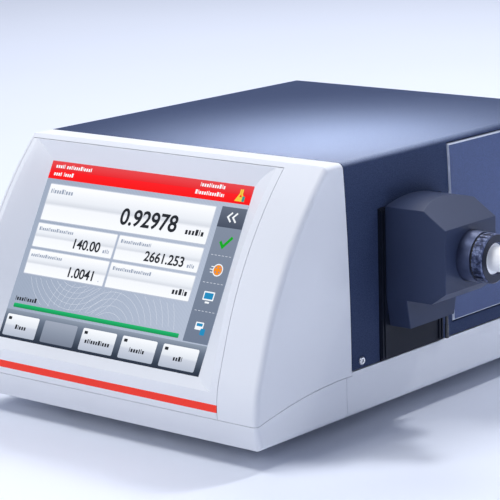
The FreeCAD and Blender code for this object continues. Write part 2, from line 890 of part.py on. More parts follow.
def cover_form(inset):
    """Faceted cover with an arched top, or its inner space when moved inwards by inset."""
    face_x = half_width + cover_reach - inset
    step_x = half_width + cover_step_x - inset / 2
    slope = cover_chamfer_share
    run = cover_reach + housing_height - cover_face_top_z
    top_z = cover_face_top_z - inset / 2
    rear_x = plate_face_x + part_gap - (overrun if inset > 0 else 0)
    guard_x = half_width + guard_reach - inset
    guard_z = guard_low_z - (overrun if inset > 0 else 0)
    points = [(rear_x, guard_z), (guard_x, guard_z), (guard_x, cover_low_z + inset),
              (step_x, cover_low_z + inset), (face_x, cover_face_low_z + inset / 2), (face_x, top_z),
              (face_x - run, top_z + run * slope), (rear_x, top_z + run * slope)]
    if face_x - run < rear_x:
        points = points[:-2] + [(rear_x, top_z + (face_x - rear_x) * slope)]
    half = cover_half_width - inset
    block = prism_y(points, axis_y - half, axis_y + half)
    start = yz(axis_y - half, cover_side_top_z - inset, rear_x)
    crown = yz(axis_y, cover_side_top_z + cover_crown - inset, rear_x)
    end = yz(axis_y + half, cover_side_top_z - inset, rear_x)
    low_z = guard_z - overrun
    low_half = half - guard_taper * (cover_low_z - low_z) / (cover_low_z - guard_low_z)
    sides = [end, yz(axis_y + half, cover_low_z, rear_x), yz(axis_y + low_half, low_z, rear_x),
             yz(axis_y - low_half, low_z, rear_x), yz(axis_y - half, cover_low_z, rear_x), start]
    lines = [Part.makeLine(a, b) for a, b in zip(sides[:-1], sides[1:])]
    wire = Part.Wire([Part.Arc(start, crown, end).toShape()] + lines)
    return block.common(Part.Face(wire).extrude(V(face_x - rear_x, 0, 0)))


def adapter_cover():
    cover = cover_form(0.0)
    edges = [e for e in cover.Edges if abs(e.CenterOfMass.x - cover.BoundBox.XMin) > cover_wall
             and e.CenterOfMass.z > guard_low_z + cover_wall]
    cover = cover.makeFillet(cover_edge_round, edges)
    cover = cover.cut(cover_form(cover_wall))
    hole = rod_x(axis_y, axis_z, cover_hole_radius, half_width + cover_step_x,
                 half_width + cover_reach + overrun)
    return cover.cut(hole)


def inlet_block():
    block = rounded_box(plate_face_x, half_width + block_reach, axis_y - block_half_width,
                        axis_y + block_half_width,
                        block_low_z, block_high_z, block_edge, "x")
    for side in (-1, 1):
        block = block.cut(rod_x(axis_y + side * leg_spread, axis_z, leg_radius + part_gap,
                                plate_face_x - overrun, plate_face_x + leg_seat))
    drain = rod_z(half_width + drain_x, drain_y, drain_radius + running_gap, block_low_z - overrun,
                  drain_elbow_z)
    flow = rod_x(axis_y, axis_z, flow_radius, plate_face_x + leg_seat,
                 half_width + block_reach + overrun)
    return block.cut(drain).cut(flow)


def turned(points):
    """Solid turned about the inlet axis from (reach, radius) points."""
    outline = [V(half_width + reach, axis_y, axis_z + radius) for reach, radius in points]
    face = Part.Face(Part.makePolygon(outline + [outline[0]]))
    return face.revolve(V(0, axis_y, axis_z), V(1, 0, 0), 360)


def inlet_collar():
    bore = stem_radius + nozzle_gap
    seat = flange_radius + nozzle_gap
    return turned([(block_reach, bore), (flange_back - nozzle_gap, bore),
                   (flange_back - nozzle_gap, seat),
                   (spigot_reach, seat), (spigot_reach, spigot_radius), (collar_reach, spigot_radius),
                   (collar_reach, collar_radius), (block_reach, collar_radius)])


def collar_seal():
    return turned([(collar_reach, spigot_radius), (collar_reach + seal_width, spigot_radius),
                   (collar_reach + seal_width, collar_radius - seal_depth),
                   (collar_reach, collar_radius - seal_depth)])


def locking_ring():
    back = collar_reach + seal_width + part_gap
    lip_back = ring_reach - ring_lip
    bore = spigot_radius + running_gap
    ring = turned([(back, bore), (lip_back, bore), (lip_back, ring_mouth_radius),
                   (ring_reach, ring_mouth_radius), (ring_reach, ring_radius - ring_round),
                   (ring_reach - ring_round, ring_radius), (back, ring_radius)])
    notch = box(half_width + back - overrun, half_width + ring_reach - ring_lip,
                axis_y - knurl_width / 2,
                axis_y + knurl_width / 2, axis_z + ring_radius - knurl_depth,
                axis_z + ring_radius + overrun)
    notches = []
    for i in range(knurl_count):
        cut = notch.copy()
        cut.rotate(V(0, axis_y, axis_z), V(1, 0, 0), 360 * i / knurl_count)
        notches.append(cut)
    return ring.cut(Part.makeCompound(notches))


def filling_nozzle():
    luer_end = barrel_reach - luer_depth
    return turned([(stem_back, flow_radius), (luer_end, flow_radius), (luer_end, luer_radius),
                   (barrel_reach, luer_radius), (barrel_reach, barrel_radius - ring_round),
                   (barrel_reach - ring_round, barrel_radius), (flange_front, barrel_radius),
                   (flange_front, flange_radius), (flange_back, flange_radius),
                   (flange_back, stem_radius), (stem_back, stem_radius)])


def drain_tube():
    x = half_width + drain_x
    tube = rod_z(x, drain_y, drain_radius, drain_low_z, drain_elbow_z)
    tip = rod_z(x, drain_y, drain_tip_radius, drain_low_z, drain_low_z + drain_tip_length)
    bore = rod_z(x, drain_y, drain_bore_radius, drain_low_z - overrun, drain_elbow_z + overrun)
    return tube.fuse(tip).cut(bore)


# Measuring cell behind the mounting plate
def cell_half(upper):
    high = cell_top_z if upper else axis_z
    low = axis_z if upper else cell_low_z
    half = box(cell_back_x, cell_front_x, axis_y - cell_half_width, axis_y + cell_half_width, low, high)
    cavity = box(cell_back_x + cell_wall, cell_front_x - cell_wall, axis_y - cell_cavity_half,
                 axis_y + cell_cavity_half, axis_z - cell_cavity_height, axis_z + cell_cavity_height)
    half = half.cut(cavity)
    for side in (-1, 1):
        half = half.cut(rod_x(axis_y + side * leg_spread, axis_z, leg_radius + running_gap,
                              cell_front_x - cell_wall - overrun, cell_front_x + overrun))
    return half


def measuring_tube():
    """Glass U-tube: two straight legs and a half-round bend."""
    bend_x = cell_back_x + cell_wall + leg_spread + leg_radius + overrun
    end_x = plate_face_x + leg_seat
    pieces = []
    for radius in (leg_radius, leg_bore):
        legs = [rod_x(axis_y + side * leg_spread, axis_z, radius, bend_x, end_x) for side in (-1, 1)]
        bend = Part.makeTorus(leg_spread, radius, V(bend_x, axis_y, axis_z), V(0, 0, 1), -180, 180, 180)
        bend.rotate(V(bend_x, axis_y, axis_z), V(0, 0, 1), 90)
        pieces.append(fuse_all(legs + [bend]))
    return pieces[0].cut(pieces[1])


def peltier_modules():
    modules = []
    for i in range(peltier_count):
        x = cell_back_x + peltier_inset + i * (peltier_size + peltier_inset)
        modules.append(box(x, x + peltier_size, axis_y - peltier_size / 2, axis_y + peltier_size / 2,
                           cell_low_z - peltier_thickness, cell_low_z))
    return Part.makeCompound(modules)


def heat_sink():
    top = cell_low_z - peltier_thickness
    base = box(cell_back_x, cell_front_x, axis_y - sink_half_width, axis_y + sink_half_width,
               top - sink_base, top)
    sink_low_z = (floor_top + top - sink_base) / 2
    pitch = 2 * sink_half_width / sink_fins
    fins = []
    for i in range(sink_fins):
        y = axis_y - sink_half_width + pitch * (i + 1 / 2)
        fins.append(box(cell_back_x + sink_foot, cell_front_x - sink_foot, y - sink_fin / 2,
                        y + sink_fin / 2,
                        sink_low_z, top - sink_base))
    return fuse_all([base] + fins)


def cell_bracket():
    """Two folded uprights that carry the heat sink on the chassis."""
    top = cell_low_z - peltier_thickness - sink_base
    sides = []
    front_x = chassis_half_width - chassis_thickness - bracket_thickness
    for x0, turn in ((cell_back_x, 1), (front_x, -1)):
        upright = box(x0, x0 + bracket_thickness, axis_y - sink_half_width, axis_y + sink_half_width,
                      floor_top, top)
        window_cut = box(x0 - overrun, x0 + bracket_thickness + overrun, axis_y - sink_half_width / 2,
                         axis_y + sink_half_width / 2, floor_top + bracket_foot, top - bracket_foot)
        low, high = sorted((x0 + bracket_thickness / 2,
                            x0 + bracket_thickness / 2 + turn * bracket_foot))
        fold = box(low, high, axis_y - sink_half_width, axis_y + sink_half_width, floor_top,
                   floor_top + bracket_thickness)
        sides.append(upright.cut(window_cut).fuse(fold).removeSplitter())
    return Part.makeCompound(sides)


def cell_insulation():
    outer_box = rounded_box(cell_back_x - foam_wall, cell_front_x, axis_y - cell_half_width - foam_wall,
                            axis_y + cell_half_width + foam_wall, cell_low_z, cell_top_z + foam_wall,
                            foam_wall / 2, "x")
    core = box(cell_back_x, cell_front_x + overrun, axis_y - cell_half_width, axis_y + cell_half_width,
               cell_low_z - overrun, cell_top_z)
    return outer_box.cut(core)


# Chassis and what stands on it
def chassis_plate():
    plate = box(-chassis_half_width, chassis_half_width, chassis_front_y, chassis_rear_y, chassis_z,
                floor_top)
    for side in (-1, 1):
        low, high = sorted((side * chassis_half_width, side * (chassis_half_width - chassis_thickness)))
        plate = plate.fuse(box(low, high, chassis_front_y, chassis_rear_y, chassis_z,
                               floor_top + chassis_flange))
    plate = plate.removeSplitter()
    for x, y in chassis_bosses():
        plate = plate.cut(rod_z(x, y, screw_shank_radius, chassis_z - overrun, floor_top + overrun))
    return plate


def chassis_screws():
    """Pan-head screws that hold the chassis down on its bosses."""
    screws = []
    for x, y in chassis_bosses():
        shank = rod_z(x, y, screw_shank_radius - seat_gap, chassis_z, floor_top)
        head = rod_z(x, y, screw_head_radius, floor_top, floor_top + screw_head_height)
        socket = rod_z(x, y, screw_socket_radius, floor_top + screw_head_height / 2,
                       floor_top + screw_head_height + overrun)
        screws.append(shank.fuse(head).cut(socket))
    return Part.makeCompound(screws)


def board_places():
    return [(x, y) for x in (board_left_x + stud_inset, board_left_x + board_width - stud_inset)
            for y in (board_front_y + stud_inset, board_front_y + board_depth - stud_inset)]


def board_standoffs():
    return Part.makeCompound([rod_z(x, y, stud_radius, floor_top, floor_top + stud_height)
                              for x, y in board_places()])


def main_board():
    low_z = floor_top + stud_height
    top_z = low_z + board_thickness
    board = box(board_left_x, board_left_x + board_width, board_front_y, board_front_y + board_depth,
                low_z, top_z)
    pieces = [board]
    for x_share, y_share, size_x, size_y, height in board_part_shares:
        x = board_left_x + board_width * x_share
        y = board_front_y + board_depth * y_share
        pieces.append(box(x, x + board_width * size_x, y, y + board_depth * size_y,
                          top_z - board_thickness / 2,
                          top_z + board_part_height * height))
    return fuse_all(pieces)


def power_supply():
    x0 = supply_left_x
    y1 = supply_rear_y
    supply = rounded_box(x0, x0 + supply_width, y1 - supply_depth, y1, floor_top,
                         floor_top + supply_height,
                         supply_edge, "y")
    pitch = supply_depth / (supply_slots + 1)
    for i in range(supply_slots):
        y = y1 - supply_depth + pitch * (i + 1)
        supply = supply.cut(box(x0 + supply_slot_inset, x0 + supply_width - supply_slot_inset,
                                y - supply_slot / 2,
                                y + supply_slot / 2, floor_top + supply_height - supply_slot,
                                floor_top + supply_height + overrun))
    return supply


def air_pump():
    y0 = pump_front_y
    axis = floor_top + pump_radius + pump_foot
    motor = rod_y(pump_x, axis, pump_radius, y0, y0 + pump_length)
    head = rounded_box(pump_x - pump_radius, pump_x + pump_radius, y0 - pump_head, y0, floor_top,
                       axis + pump_radius, supply_edge, "y")
    foot_block = box(pump_x - pump_radius / 2, pump_x + pump_radius / 2, y0, y0 + pump_length,
                     floor_top, axis)
    ports = [rod_z(pump_x + side * pump_radius / 2, y0 - pump_head / 2, pump_port_radius, axis,
                   axis + pump_radius + pump_port_height) for side in (-1, 1)]
    return fuse_all([motor, head, foot_block] + ports)


def drying_cartridge():
    axis = floor_top + dryer_cap / 2
    tube = rod_y(dryer_x, axis, dryer_radius, dryer_front_y, dryer_front_y + dryer_length)
    caps = []
    for y in (dryer_front_y - dryer_cap_length, dryer_front_y + dryer_length):
        caps.append(rounded_box(dryer_x - dryer_cap / 2, dryer_x + dryer_cap / 2, y,
                                y + dryer_cap_length,
                                floor_top, floor_top + dryer_cap, supply_edge, "y"))
    return fuse_all([tube] + caps)


# Rear panel: fan, power inlet, switch, data sockets and hose nipples
def rear_cuts(back_y):
    """Openings of the rear panel, each with its clearance."""
    y0 = back_y - rear_thickness - overrun
    y1 = back_y + overrun
    grow = part_gap
    cuts = [rod_y(fan_x, fan_z, fan_duct_radius, y0, y1)]
    for x, width, height in ((inlet_x, inlet_width, inlet_height),
                             (switch_x, switch_width, switch_height)):
        cuts.append(box(x - width / 2 - grow, x + width / 2 + grow, y0, y1,
                        socket_z - height / 2 - grow, socket_z + height / 2 + grow))
    cuts.append(port_window(0, y0, y1))
    for i in range(nipple_count):
        cuts.append(rod_y(nipple_x + i * nipple_pitch, nipple_z, nipple_thread_radius + running_gap,
                          y0, y1))
    return cuts


def port_window(inset, y0, y1):
    """Block as large as the window for the data sockets, less the inset on each side."""
    low_x = usb_x - usb_width / 2 - port_margin + inset
    high_x = serial_x + serial_width / 2 + serial_ear + port_margin - inset
    half_height = network_height / 2 + port_margin - inset
    return box(low_x, high_x, y0, y1, socket_z - half_height, socket_z + half_height)


def port_plate():
    """Plate that fills the window, with a lip behind the rear panel and the socket holes."""
    lip_y = panel_front_y - port_lip_thickness
    plate = port_window(part_gap, lip_y, panel_back_y)
    lip = port_window(-port_lip, lip_y, panel_front_y)
    hollow = port_window(port_lip, lip_y - overrun, panel_front_y)
    plate = plate.fuse(lip).cut(hollow)
    y0 = panel_front_y - overrun
    y1 = panel_back_y + overrun
    for cut in socket_cuts(y0, y1):
        plate = plate.cut(cut)
    return plate


def socket_cuts(y0, y1):
    """Openings of the data sockets in the port plate, each with its clearance."""
    grow = part_gap
    cuts = [box(network_x - network_width / 2 - grow, network_x + network_width / 2 + grow, y0, y1,
                socket_z - network_height / 2 - grow, socket_z + network_height / 2 + grow)]
    for i in range(usb_count):
        x = usb_x + i * usb_pitch
        cuts.append(box(x - usb_width / 2 - grow, x + usb_width / 2 + grow, y0, y1,
                        socket_z - usb_height / 2 - grow, socket_z + usb_height / 2 + grow))
    cuts.append(box(serial_x - serial_width / 2 - grow, serial_x + serial_width / 2 + grow, y0, y1,
                    socket_z - serial_height / 2 - grow, socket_z + serial_height / 2 + grow))
    return cuts


def power_inlet():
    """Mains inlet with a flanged face, a chamfered cavity and three blades."""
    flange_y = panel_back_y + inlet_flange_thickness
    body = box(inlet_x - inlet_width / 2, inlet_x + inlet_width / 2, panel_back_y - inlet_depth,
               panel_back_y,
               socket_z - inlet_height / 2, socket_z + inlet_height / 2)
    flange = rounded_box(inlet_x - inlet_flange_width / 2, inlet_x + inlet_flange_width / 2,
                         panel_back_y,
                         flange_y, socket_z - inlet_flange_height / 2,
                         socket_z + inlet_flange_height / 2,
                         inlet_corner, "y")
    cavity = box(inlet_x - cavity_width / 2, inlet_x + cavity_width / 2, flange_y - cavity_depth,
                 flange_y + overrun, socket_z - cavity_height / 2, socket_z + cavity_height / 2)
    slant = [e for e in cavity.Edges if abs(abs(e.tangentAt(e.FirstParameter).y) - 1) < 1e-6
             and e.CenterOfMass.z > socket_z]
    cavity = cavity.makeChamfer(cavity_slant, slant)
    body = body.fuse(flange).cut(cavity)
    blades = []
    for i in (-1, 0, 1):
        x = inlet_x + i * blade_pitch
        z = socket_z + (blade_lift if i == 0 else -blade_lift)
        blades.append(box(x - blade_width / 2, x + blade_width / 2, flange_y - cavity_depth - overrun,
                          flange_y - blade_recess, z - blade_height / 2, z + blade_height / 2))
    return fuse_all([body] + blades)


def switch_frame():
    half_x = switch_width / 2
    half_z = switch_height / 2
    back = box(switch_x - half_x, switch_x + half_x, panel_back_y - switch_depth, panel_back_y,
               socket_z - half_z, socket_z + half_z)
    flange = box(switch_x - half_x - switch_rim, switch_x + half_x + switch_rim, panel_back_y,
                 panel_back_y + switch_rim, socket_z - half_z - switch_rim,
                 socket_z + half_z + switch_rim)
    pivot_y = panel_back_y + switch_rim - rocker_sink
    well_half = rocker_width / 2 + part_gap
    well = rod_x(pivot_y, socket_z, rocker_radius + part_gap, switch_x - well_half, switch_x + well_half)
    mouth = box(switch_x - well_half, switch_x + well_half, pivot_y, panel_back_y + switch_rim + overrun,
                socket_z - rocker_radius - part_gap, socket_z + rocker_radius + part_gap)
    pin = rod_x(pivot_y, socket_z, rocker_pin_radius + running_gap,
                switch_x - well_half - rocker_pin_length,
                switch_x + well_half + rocker_pin_length)
    return back.fuse(flange).cut(well.fuse(mouth)).cut(pin)


def switch_rocker():
    """Rocker with a shallow V face, resting on its off side."""
    pivot_y = panel_back_y + switch_rim - rocker_sink
    half = rocker_width / 2
    drum = rod_x(pivot_y, socket_z, rocker_radius, switch_x - half, switch_x + half)
    tilt = math.radians(rocker_tilt)
    valley_y = pivot_y + rocker_sink
    reach = rocker_radius * 2
    outline = [(valley_y, socket_z), (valley_y + reach * math.tan(2 * tilt), socket_z + reach),
               (valley_y - reach * 2, socket_z + reach), (valley_y - reach * 2, socket_z - reach),
               (valley_y, socket_z - reach)]
    face = prism_x(outline, switch_x - half, switch_x + half)
    pin = rod_x(pivot_y, socket_z, rocker_pin_radius, switch_x - half - rocker_pin_length,
                switch_x + half + rocker_pin_length)
    return drum.common(face).fuse(pin)


def usb_sockets():
    shells = []
    for i in range(usb_count):
        x = usb_x + i * usb_pitch
        body = box(x - usb_width / 2, x + usb_width / 2, panel_front_y - usb_depth,
                   panel_back_y + socket_proud,
                   socket_z - usb_height / 2, socket_z + usb_height / 2)
        cavity = box(x - usb_width / 2 + socket_wall, x + usb_width / 2 - socket_wall,
                     panel_front_y - usb_depth / 2,
                     panel_back_y + socket_proud + overrun, socket_z - usb_height / 2 + socket_wall,
                     socket_z + usb_height / 2 - socket_wall)
        tongue = box(x - usb_width / 2 + socket_wall * 2, x + usb_width / 2 - socket_wall * 2,
                     panel_front_y - usb_depth / 2 - socket_wall, panel_back_y - socket_wall,
                     socket_z, socket_z + usb_tongue)
        flange = box(x - usb_width / 2 - socket_flange, x + usb_width / 2 + socket_flange,
                     panel_front_y - socket_wall, panel_front_y,
                     socket_z - usb_height / 2 - socket_flange,
                     socket_z + usb_height / 2 + socket_flange)
        shells.append(fuse_all([body, flange]).cut(cavity).fuse(tongue))
    return Part.makeCompound(shells)


def network_socket():
    half_x = network_width / 2
    half_z = network_height / 2
    body = box(network_x - half_x, network_x + half_x, panel_front_y - network_depth,
               panel_back_y + socket_proud, socket_z - half_z, socket_z + half_z)
    flange = box(network_x - half_x - socket_flange, network_x + half_x + socket_flange,
                 panel_front_y - socket_wall, panel_front_y, socket_z - half_z - socket_flange,
                 socket_z + half_z + socket_flange)
    cavity = box(network_x - half_x + network_wall, network_x + half_x - network_wall,
                 panel_back_y + socket_proud - network_cavity, panel_back_y + socket_proud + overrun,
                 socket_z - half_z + network_wall, socket_z + half_z - network_wall)
    return fuse_all([body, flange]).cut(cavity)


def serial_socket():
    """Data socket with a D-shaped collar and two hex pillars."""
    half_x = serial_width / 2
    half_z = serial_height / 2
    body = box(serial_x - half_x, serial_x + half_x, panel_front_y - serial_depth, panel_back_y,
               socket_z - half_z, socket_z + half_z)
    flange = box(serial_x - half_x - serial_ear, serial_x + half_x + serial_ear, panel_back_y,
                 panel_back_y + socket_wall, socket_z - half_z, socket_z + half_z)
    slant = serial_height * serial_slant_share
    collar = [V(-half_x + slant, 0, -half_z + socket_wall), V(half_x - slant, 0, -half_z + socket_wall),
              V(half_x - socket_wall, 0, half_z - socket_wall),
              V(-half_x + socket_wall, 0, half_z - socket_wall)]
    place = V(serial_x, panel_back_y, socket_z)
    points = [place + corner for corner in collar]
    shell_face = Part.Face(Part.makePolygon(points + [points[0]]))
    raised = shell_face.extrude(V(0, serial_collar, 0))
    pillars = []
    for side in (-1, 1):
        x = serial_x + side * (half_x + serial_ear / 2)
        pillars.append(rod_y(x, socket_z, socket_wall * 2, panel_back_y, panel_back_y + serial_collar))
    return fuse_all([body, flange, raised] + pillars)


def hose_nipples():
    """Threaded hose nipples with a hexagon and a smooth barrel."""
    nipples = []
    for i in range(nipple_count):
        x = nipple_x + i * nipple_pitch
        thread = rod_y(x, nipple_z, nipple_thread_radius, panel_front_y - nipple_nut, panel_back_y)
        corners = [V(x + nipple_hex_radius * math.cos(math.radians(60 * k)), panel_back_y,
                     nipple_z + nipple_hex_radius * math.sin(math.radians(60 * k))) for k in range(6)]
        hexagon = Part.Face(Part.makePolygon(corners + [corners[0]])).extrude(V(0, nipple_hex_length, 0))
        barrel = rod_y(x, nipple_z, nipple_radius, panel_back_y, panel_back_y + nipple_reach)
        bore = rod_y(x, nipple_z, nipple_bore, panel_front_y - nipple_nut - overrun,
                     panel_back_y + nipple_reach + overrun)
        nipples.append(fuse_all([thread, hexagon, barrel]).cut(bore))
    return Part.makeCompound(nipples)


def fan_frame():
    y0 = panel_front_y - fan_depth
    frame = rounded_box(fan_x - fan_size / 2, fan_x + fan_size / 2, y0, panel_front_y,
                        fan_z - fan_size / 2,
                        fan_z + fan_size / 2, fan_corner, "y")
    frame = frame.cut(rod_y(fan_x, fan_z, fan_duct_radius, y0 - overrun, panel_front_y + overrun))
    struts = [rod_y(fan_x, fan_z, fan_hub_radius, y0, y0 + fan_strut)]
    for k in range(fan_strut_count):
        strut = box(fan_x - fan_strut / 2, fan_x + fan_strut / 2, y0, y0 + fan_strut, fan_z,
                    fan_z + fan_duct_radius + fan_strut / 2)
        strut.rotate(V(fan_x, 0, fan_z), V(0, 1, 0), 360 * k / fan_strut_count + fan_strut_turn)
        struts.append(strut)
    bearing = rod_y(fan_x, fan_z, fan_shaft_radius + running_gap, y0 - overrun, y0 + fan_strut + overrun)
    return fuse_all([frame] + struts).cut(bearing)


def fan_rotor():
    y0 = panel_front_y - fan_depth + fan_strut + part_gap
    y1 = panel_front_y - fan_strut
    hub = rod_y(fan_x, fan_z, fan_hub_radius, y0, y1)
    shaft = rod_y(fan_x, fan_z, fan_shaft_radius, y0 - fan_strut - part_gap, y0 + fan_strut)
    ring = rod_y(fan_x, fan_z, fan_duct_radius - fan_tip_gap, y0, y1)
    blades = []
    for k in range(fan_blades):
        blade = box(fan_x - fan_blade / 2, fan_x + fan_blade / 2, y0 - fan_depth, y1 + fan_depth,
                    fan_z + fan_hub_radius - fan_blade, fan_z + fan_duct_radius)
        blade.rotate(V(fan_x, (y0 + y1) / 2, fan_z), V(0, 0, 1), fan_pitch_angle)
        blade.rotate(V(fan_x, 0, fan_z), V(0, 1, 0), 360 * k / fan_blades)
        blades.append(blade.common(ring))
    return fuse_all([hub, shaft] + blades)


def fan_guard():
    """Flat guard of rings and spokes over the fan opening, outside the rear panel."""
    y0 = panel_back_y
    y1 = panel_back_y + guard_thickness
    rings = []
    for i in range(guard_rings):
        radius = fan_hub_radius / 2 + i * guard_pitch
        ring = rod_y(fan_x, fan_z, radius + guard_bar, y0,
                     y1).cut(rod_y(fan_x, fan_z, radius, y0 - overrun,
                                                                       y1 + overrun))
        rings.append(ring)
    outer_radius = fan_hub_radius / 2 + (guard_rings - 1) * guard_pitch + guard_bar / 2
    for k in range(fan_strut_count):
        spoke = box(fan_x - guard_bar / 2, fan_x + guard_bar / 2, y0, y1, fan_z,
                    fan_z + fan_size / math.sqrt(2)
                    - fan_corner)
        inner_cut = box(fan_x - guard_bar, fan_x + guard_bar, y0 - overrun, y1 + overrun, fan_z,
                        fan_z + fan_hub_radius / 2 + guard_bar / 2)
        spoke = spoke.cut(inner_cut)
        spoke.rotate(V(fan_x, 0, fan_z), V(0, 1, 0), 360 * k / fan_strut_count + fan_strut_turn)
        rings.append(spoke)
    return fuse_all(rings)


nodes = {
    "front_base": front_base,
    "base_pan": base_pan,
    "front_housing": front_housing,
    "display_insert": display_insert,
    "accent_strip": accent_strip,
    "touch_glass": touch_glass,
    "display_gasket": display_gasket,
    "display_panel": display_panel,
    "display_board": display_board,
    "hood": hood,
    "side_access_panel": side_access_panel,
    "side_screws": side_screws,
    "rear_panel": rear_panel,
    "port_plate": port_plate,
    "foot_screws": foot_screws,
    "adapter_plate": adapter_plate,
    "adapter_cover": adapter_cover,
    "inlet_block": inlet_block,
    "inlet_collar": inlet_collar,
    "collar_seal": collar_seal,
    "locking_ring": locking_ring,
    "filling_nozzle": filling_nozzle,
    "drain_tube": drain_tube,
    "cell_lower_half": lambda: cell_half(False),
    "cell_upper_half": lambda: cell_half(True),
    "measuring_tube": measuring_tube,
    "peltier_modules": peltier_modules,
    "heat_sink": heat_sink,
    "cell_bracket": cell_bracket,
    "cell_insulation": cell_insulation,
    "chassis_plate": chassis_plate,
    "chassis_screws": chassis_screws,
    "board_standoffs": board_standoffs,
    "main_board": main_board,
    "power_supply": power_supply,
    "air_pump": air_pump,
    "drying_cartridge": drying_cartridge,
    "power_inlet": power_inlet,
    "switch_frame": switch_frame,
    "switch_rocker": switch_rocker,
    "usb_sockets": usb_sockets,
    "network_socket": network_socket,
    "serial_socket": serial_socket,
    "hose_nipples": hose_nipples,
    "fan_frame": fan_frame,
    "fan_rotor": fan_rotor,
    "fan_guard": fan_guard,
}
foot_names = ["foot_front_left", "foot_rear_left", "foot_front_right", "foot_rear_right"]
for foot_name, (place_x, place_y) in zip(foot_names, foot_places):
    nodes[foot_name] = lambda x=place_x, y=place_y: foot(x, y)

# The origin is the middle of the whole footprint, at bench height
front_reach = chin_centre.y - chin_radius
rear_reach = panel_back_y + nipple_reach
origin_shift = V((screw_head_height - barrel_reach) / 2, -(front_reach + rear_reach) / 2, 0)

os.makedirs("parts", exist_ok=True)
for name, make in nodes.items():
    solid = make()
    solid.translate(origin_shift)
    solid.exportStep("parts/" + name + ".step")
print("nodes", len(nodes), "origin shift", origin_shift)
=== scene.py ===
# %% [markdown]
# # Benchtop density meter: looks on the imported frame
# The instrument stands on a laboratory bench. It has a pale moulded front with a leaning
# touch screen, a dark painted hood over its works, and a sample adapter at the right side.
# Its solids come in as a fixed frame, so nothing of their shape is made here. This script
# paints each of them and adds the thin pieces that solids are too coarse for, above all
# what the touch screen shows. Lengths are in metres, with X to the right, Y to the rear
# and Z up, as in the frame.

import math

import bmesh
import bpy
from mathutils import Matrix, Vector


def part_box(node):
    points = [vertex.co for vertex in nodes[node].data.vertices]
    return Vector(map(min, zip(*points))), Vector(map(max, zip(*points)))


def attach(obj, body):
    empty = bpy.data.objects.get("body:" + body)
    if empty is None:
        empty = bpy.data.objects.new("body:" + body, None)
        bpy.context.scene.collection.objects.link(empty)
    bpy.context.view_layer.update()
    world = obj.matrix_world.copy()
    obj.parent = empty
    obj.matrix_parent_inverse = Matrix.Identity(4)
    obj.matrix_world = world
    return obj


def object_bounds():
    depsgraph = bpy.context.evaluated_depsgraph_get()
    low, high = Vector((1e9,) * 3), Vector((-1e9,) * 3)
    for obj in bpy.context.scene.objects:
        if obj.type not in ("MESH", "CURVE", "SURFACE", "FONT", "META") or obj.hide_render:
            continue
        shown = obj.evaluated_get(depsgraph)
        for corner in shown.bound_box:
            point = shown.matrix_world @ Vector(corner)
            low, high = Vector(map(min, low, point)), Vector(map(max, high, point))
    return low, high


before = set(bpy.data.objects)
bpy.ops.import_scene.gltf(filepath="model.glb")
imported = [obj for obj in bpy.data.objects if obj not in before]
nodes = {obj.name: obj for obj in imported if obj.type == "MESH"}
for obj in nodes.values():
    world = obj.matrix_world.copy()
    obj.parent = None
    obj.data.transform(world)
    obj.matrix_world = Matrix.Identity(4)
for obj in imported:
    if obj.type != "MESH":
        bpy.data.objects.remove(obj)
cad_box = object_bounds()
mm = 0.001
print("solids in the frame", len(nodes), "box", [round(v, 4) for corner in cad_box for v in corner])

# %% [markdown]
# ## Single nodes
# No real surface is quite even: moulded plastic, paint and metal all drift a little in
# tone and gloss. A photographed texture could give that, but it needs an image and a UV
# map for each solid. Noise on Object coordinates needs neither and stays fixed to a piece
# that moves, so every finish below is built from the same few nodes.

# %%
# Noise, ramp and range nodes
def node(tree, kind, **values):
    made = tree.nodes.new(kind)
    for name, value in values.items():
        setattr(made, name, value)
    return made


def noise(tree, vector, scale, detail=2.0, roughness=0.5):
    """Noise between 0 and 1; scale counts its cells per metre."""
    made = node(tree, "ShaderNodeTexNoise")
    made.inputs["Scale"].default_value = scale
    made.inputs["Detail"].default_value = detail
    made.inputs["Roughness"].default_value = roughness
    tree.links.new(vector, made.inputs["Vector"])
    return made.outputs["Fac"]


def ramp(tree, factor, stops):
    """Colours along a factor; each stop is a place between 0 and 1 and a colour."""
    made = node(tree, "ShaderNodeValToRGB")
    elements = made.color_ramp.elements
    while len(elements) < len(stops):
        elements.new(0.5)
    for element, (place, colour) in zip(elements, stops):
        element.position = place
        element.color = (*colour, 1.0)
    tree.links.new(factor, made.inputs["Fac"])
    return made.outputs["Color"]


def spread(tree, value, low, high):
    """Stretches a value from 0 to 1 over the range low to high."""
    made = node(tree, "ShaderNodeMapRange")
    made.inputs["To Min"].default_value = low
    made.inputs["To Max"].default_value = high
    tree.links.new(value, made.inputs["Value"])
    return made.outputs["Result"]


print("single nodes ready")

# %% [markdown]
# ## What all finishes share
# A finish starts as an empty shader with its coordinates. It then gets a swing in its
# roughness and a raised grain, which catch the light as a moulded or sprayed skin does.
# Numbers that are the same everywhere stay on the shader's own sockets, which keeps the
# graph small and lets an export read them as they are.

# %%
# Start, shade, gloss, grain and a second colour beyond a plane
def new_material(name):
    made = bpy.data.materials.new(name)
    made.use_nodes = True
    tree = made.node_tree
    return made, tree, tree.nodes["Principled BSDF"], node(tree, "ShaderNodeTexCoord")


def shade(colour, amount):
    return tuple(min(1.0, c * amount) for c in colour)


def vary_gloss(tree, shader, pattern, rough, share):
    """Roughness that follows a pattern, up to a share below and above its mean."""
    swing = spread(tree, pattern, rough * (1 - share), min(1.0, rough * (1 + share)))
    tree.links.new(swing, shader.inputs["Roughness"])


def raise_grain(tree, shader, height, strength, depth):
    """Bump that follows a height pattern; depth in millimetres."""
    raised = node(tree, "ShaderNodeBump")
    raised.inputs["Strength"].default_value = strength
    raised.inputs["Distance"].default_value = depth * mm
    tree.links.new(height, raised.inputs["Height"])
    tree.links.new(raised.outputs["Normal"], shader.inputs["Normal"])


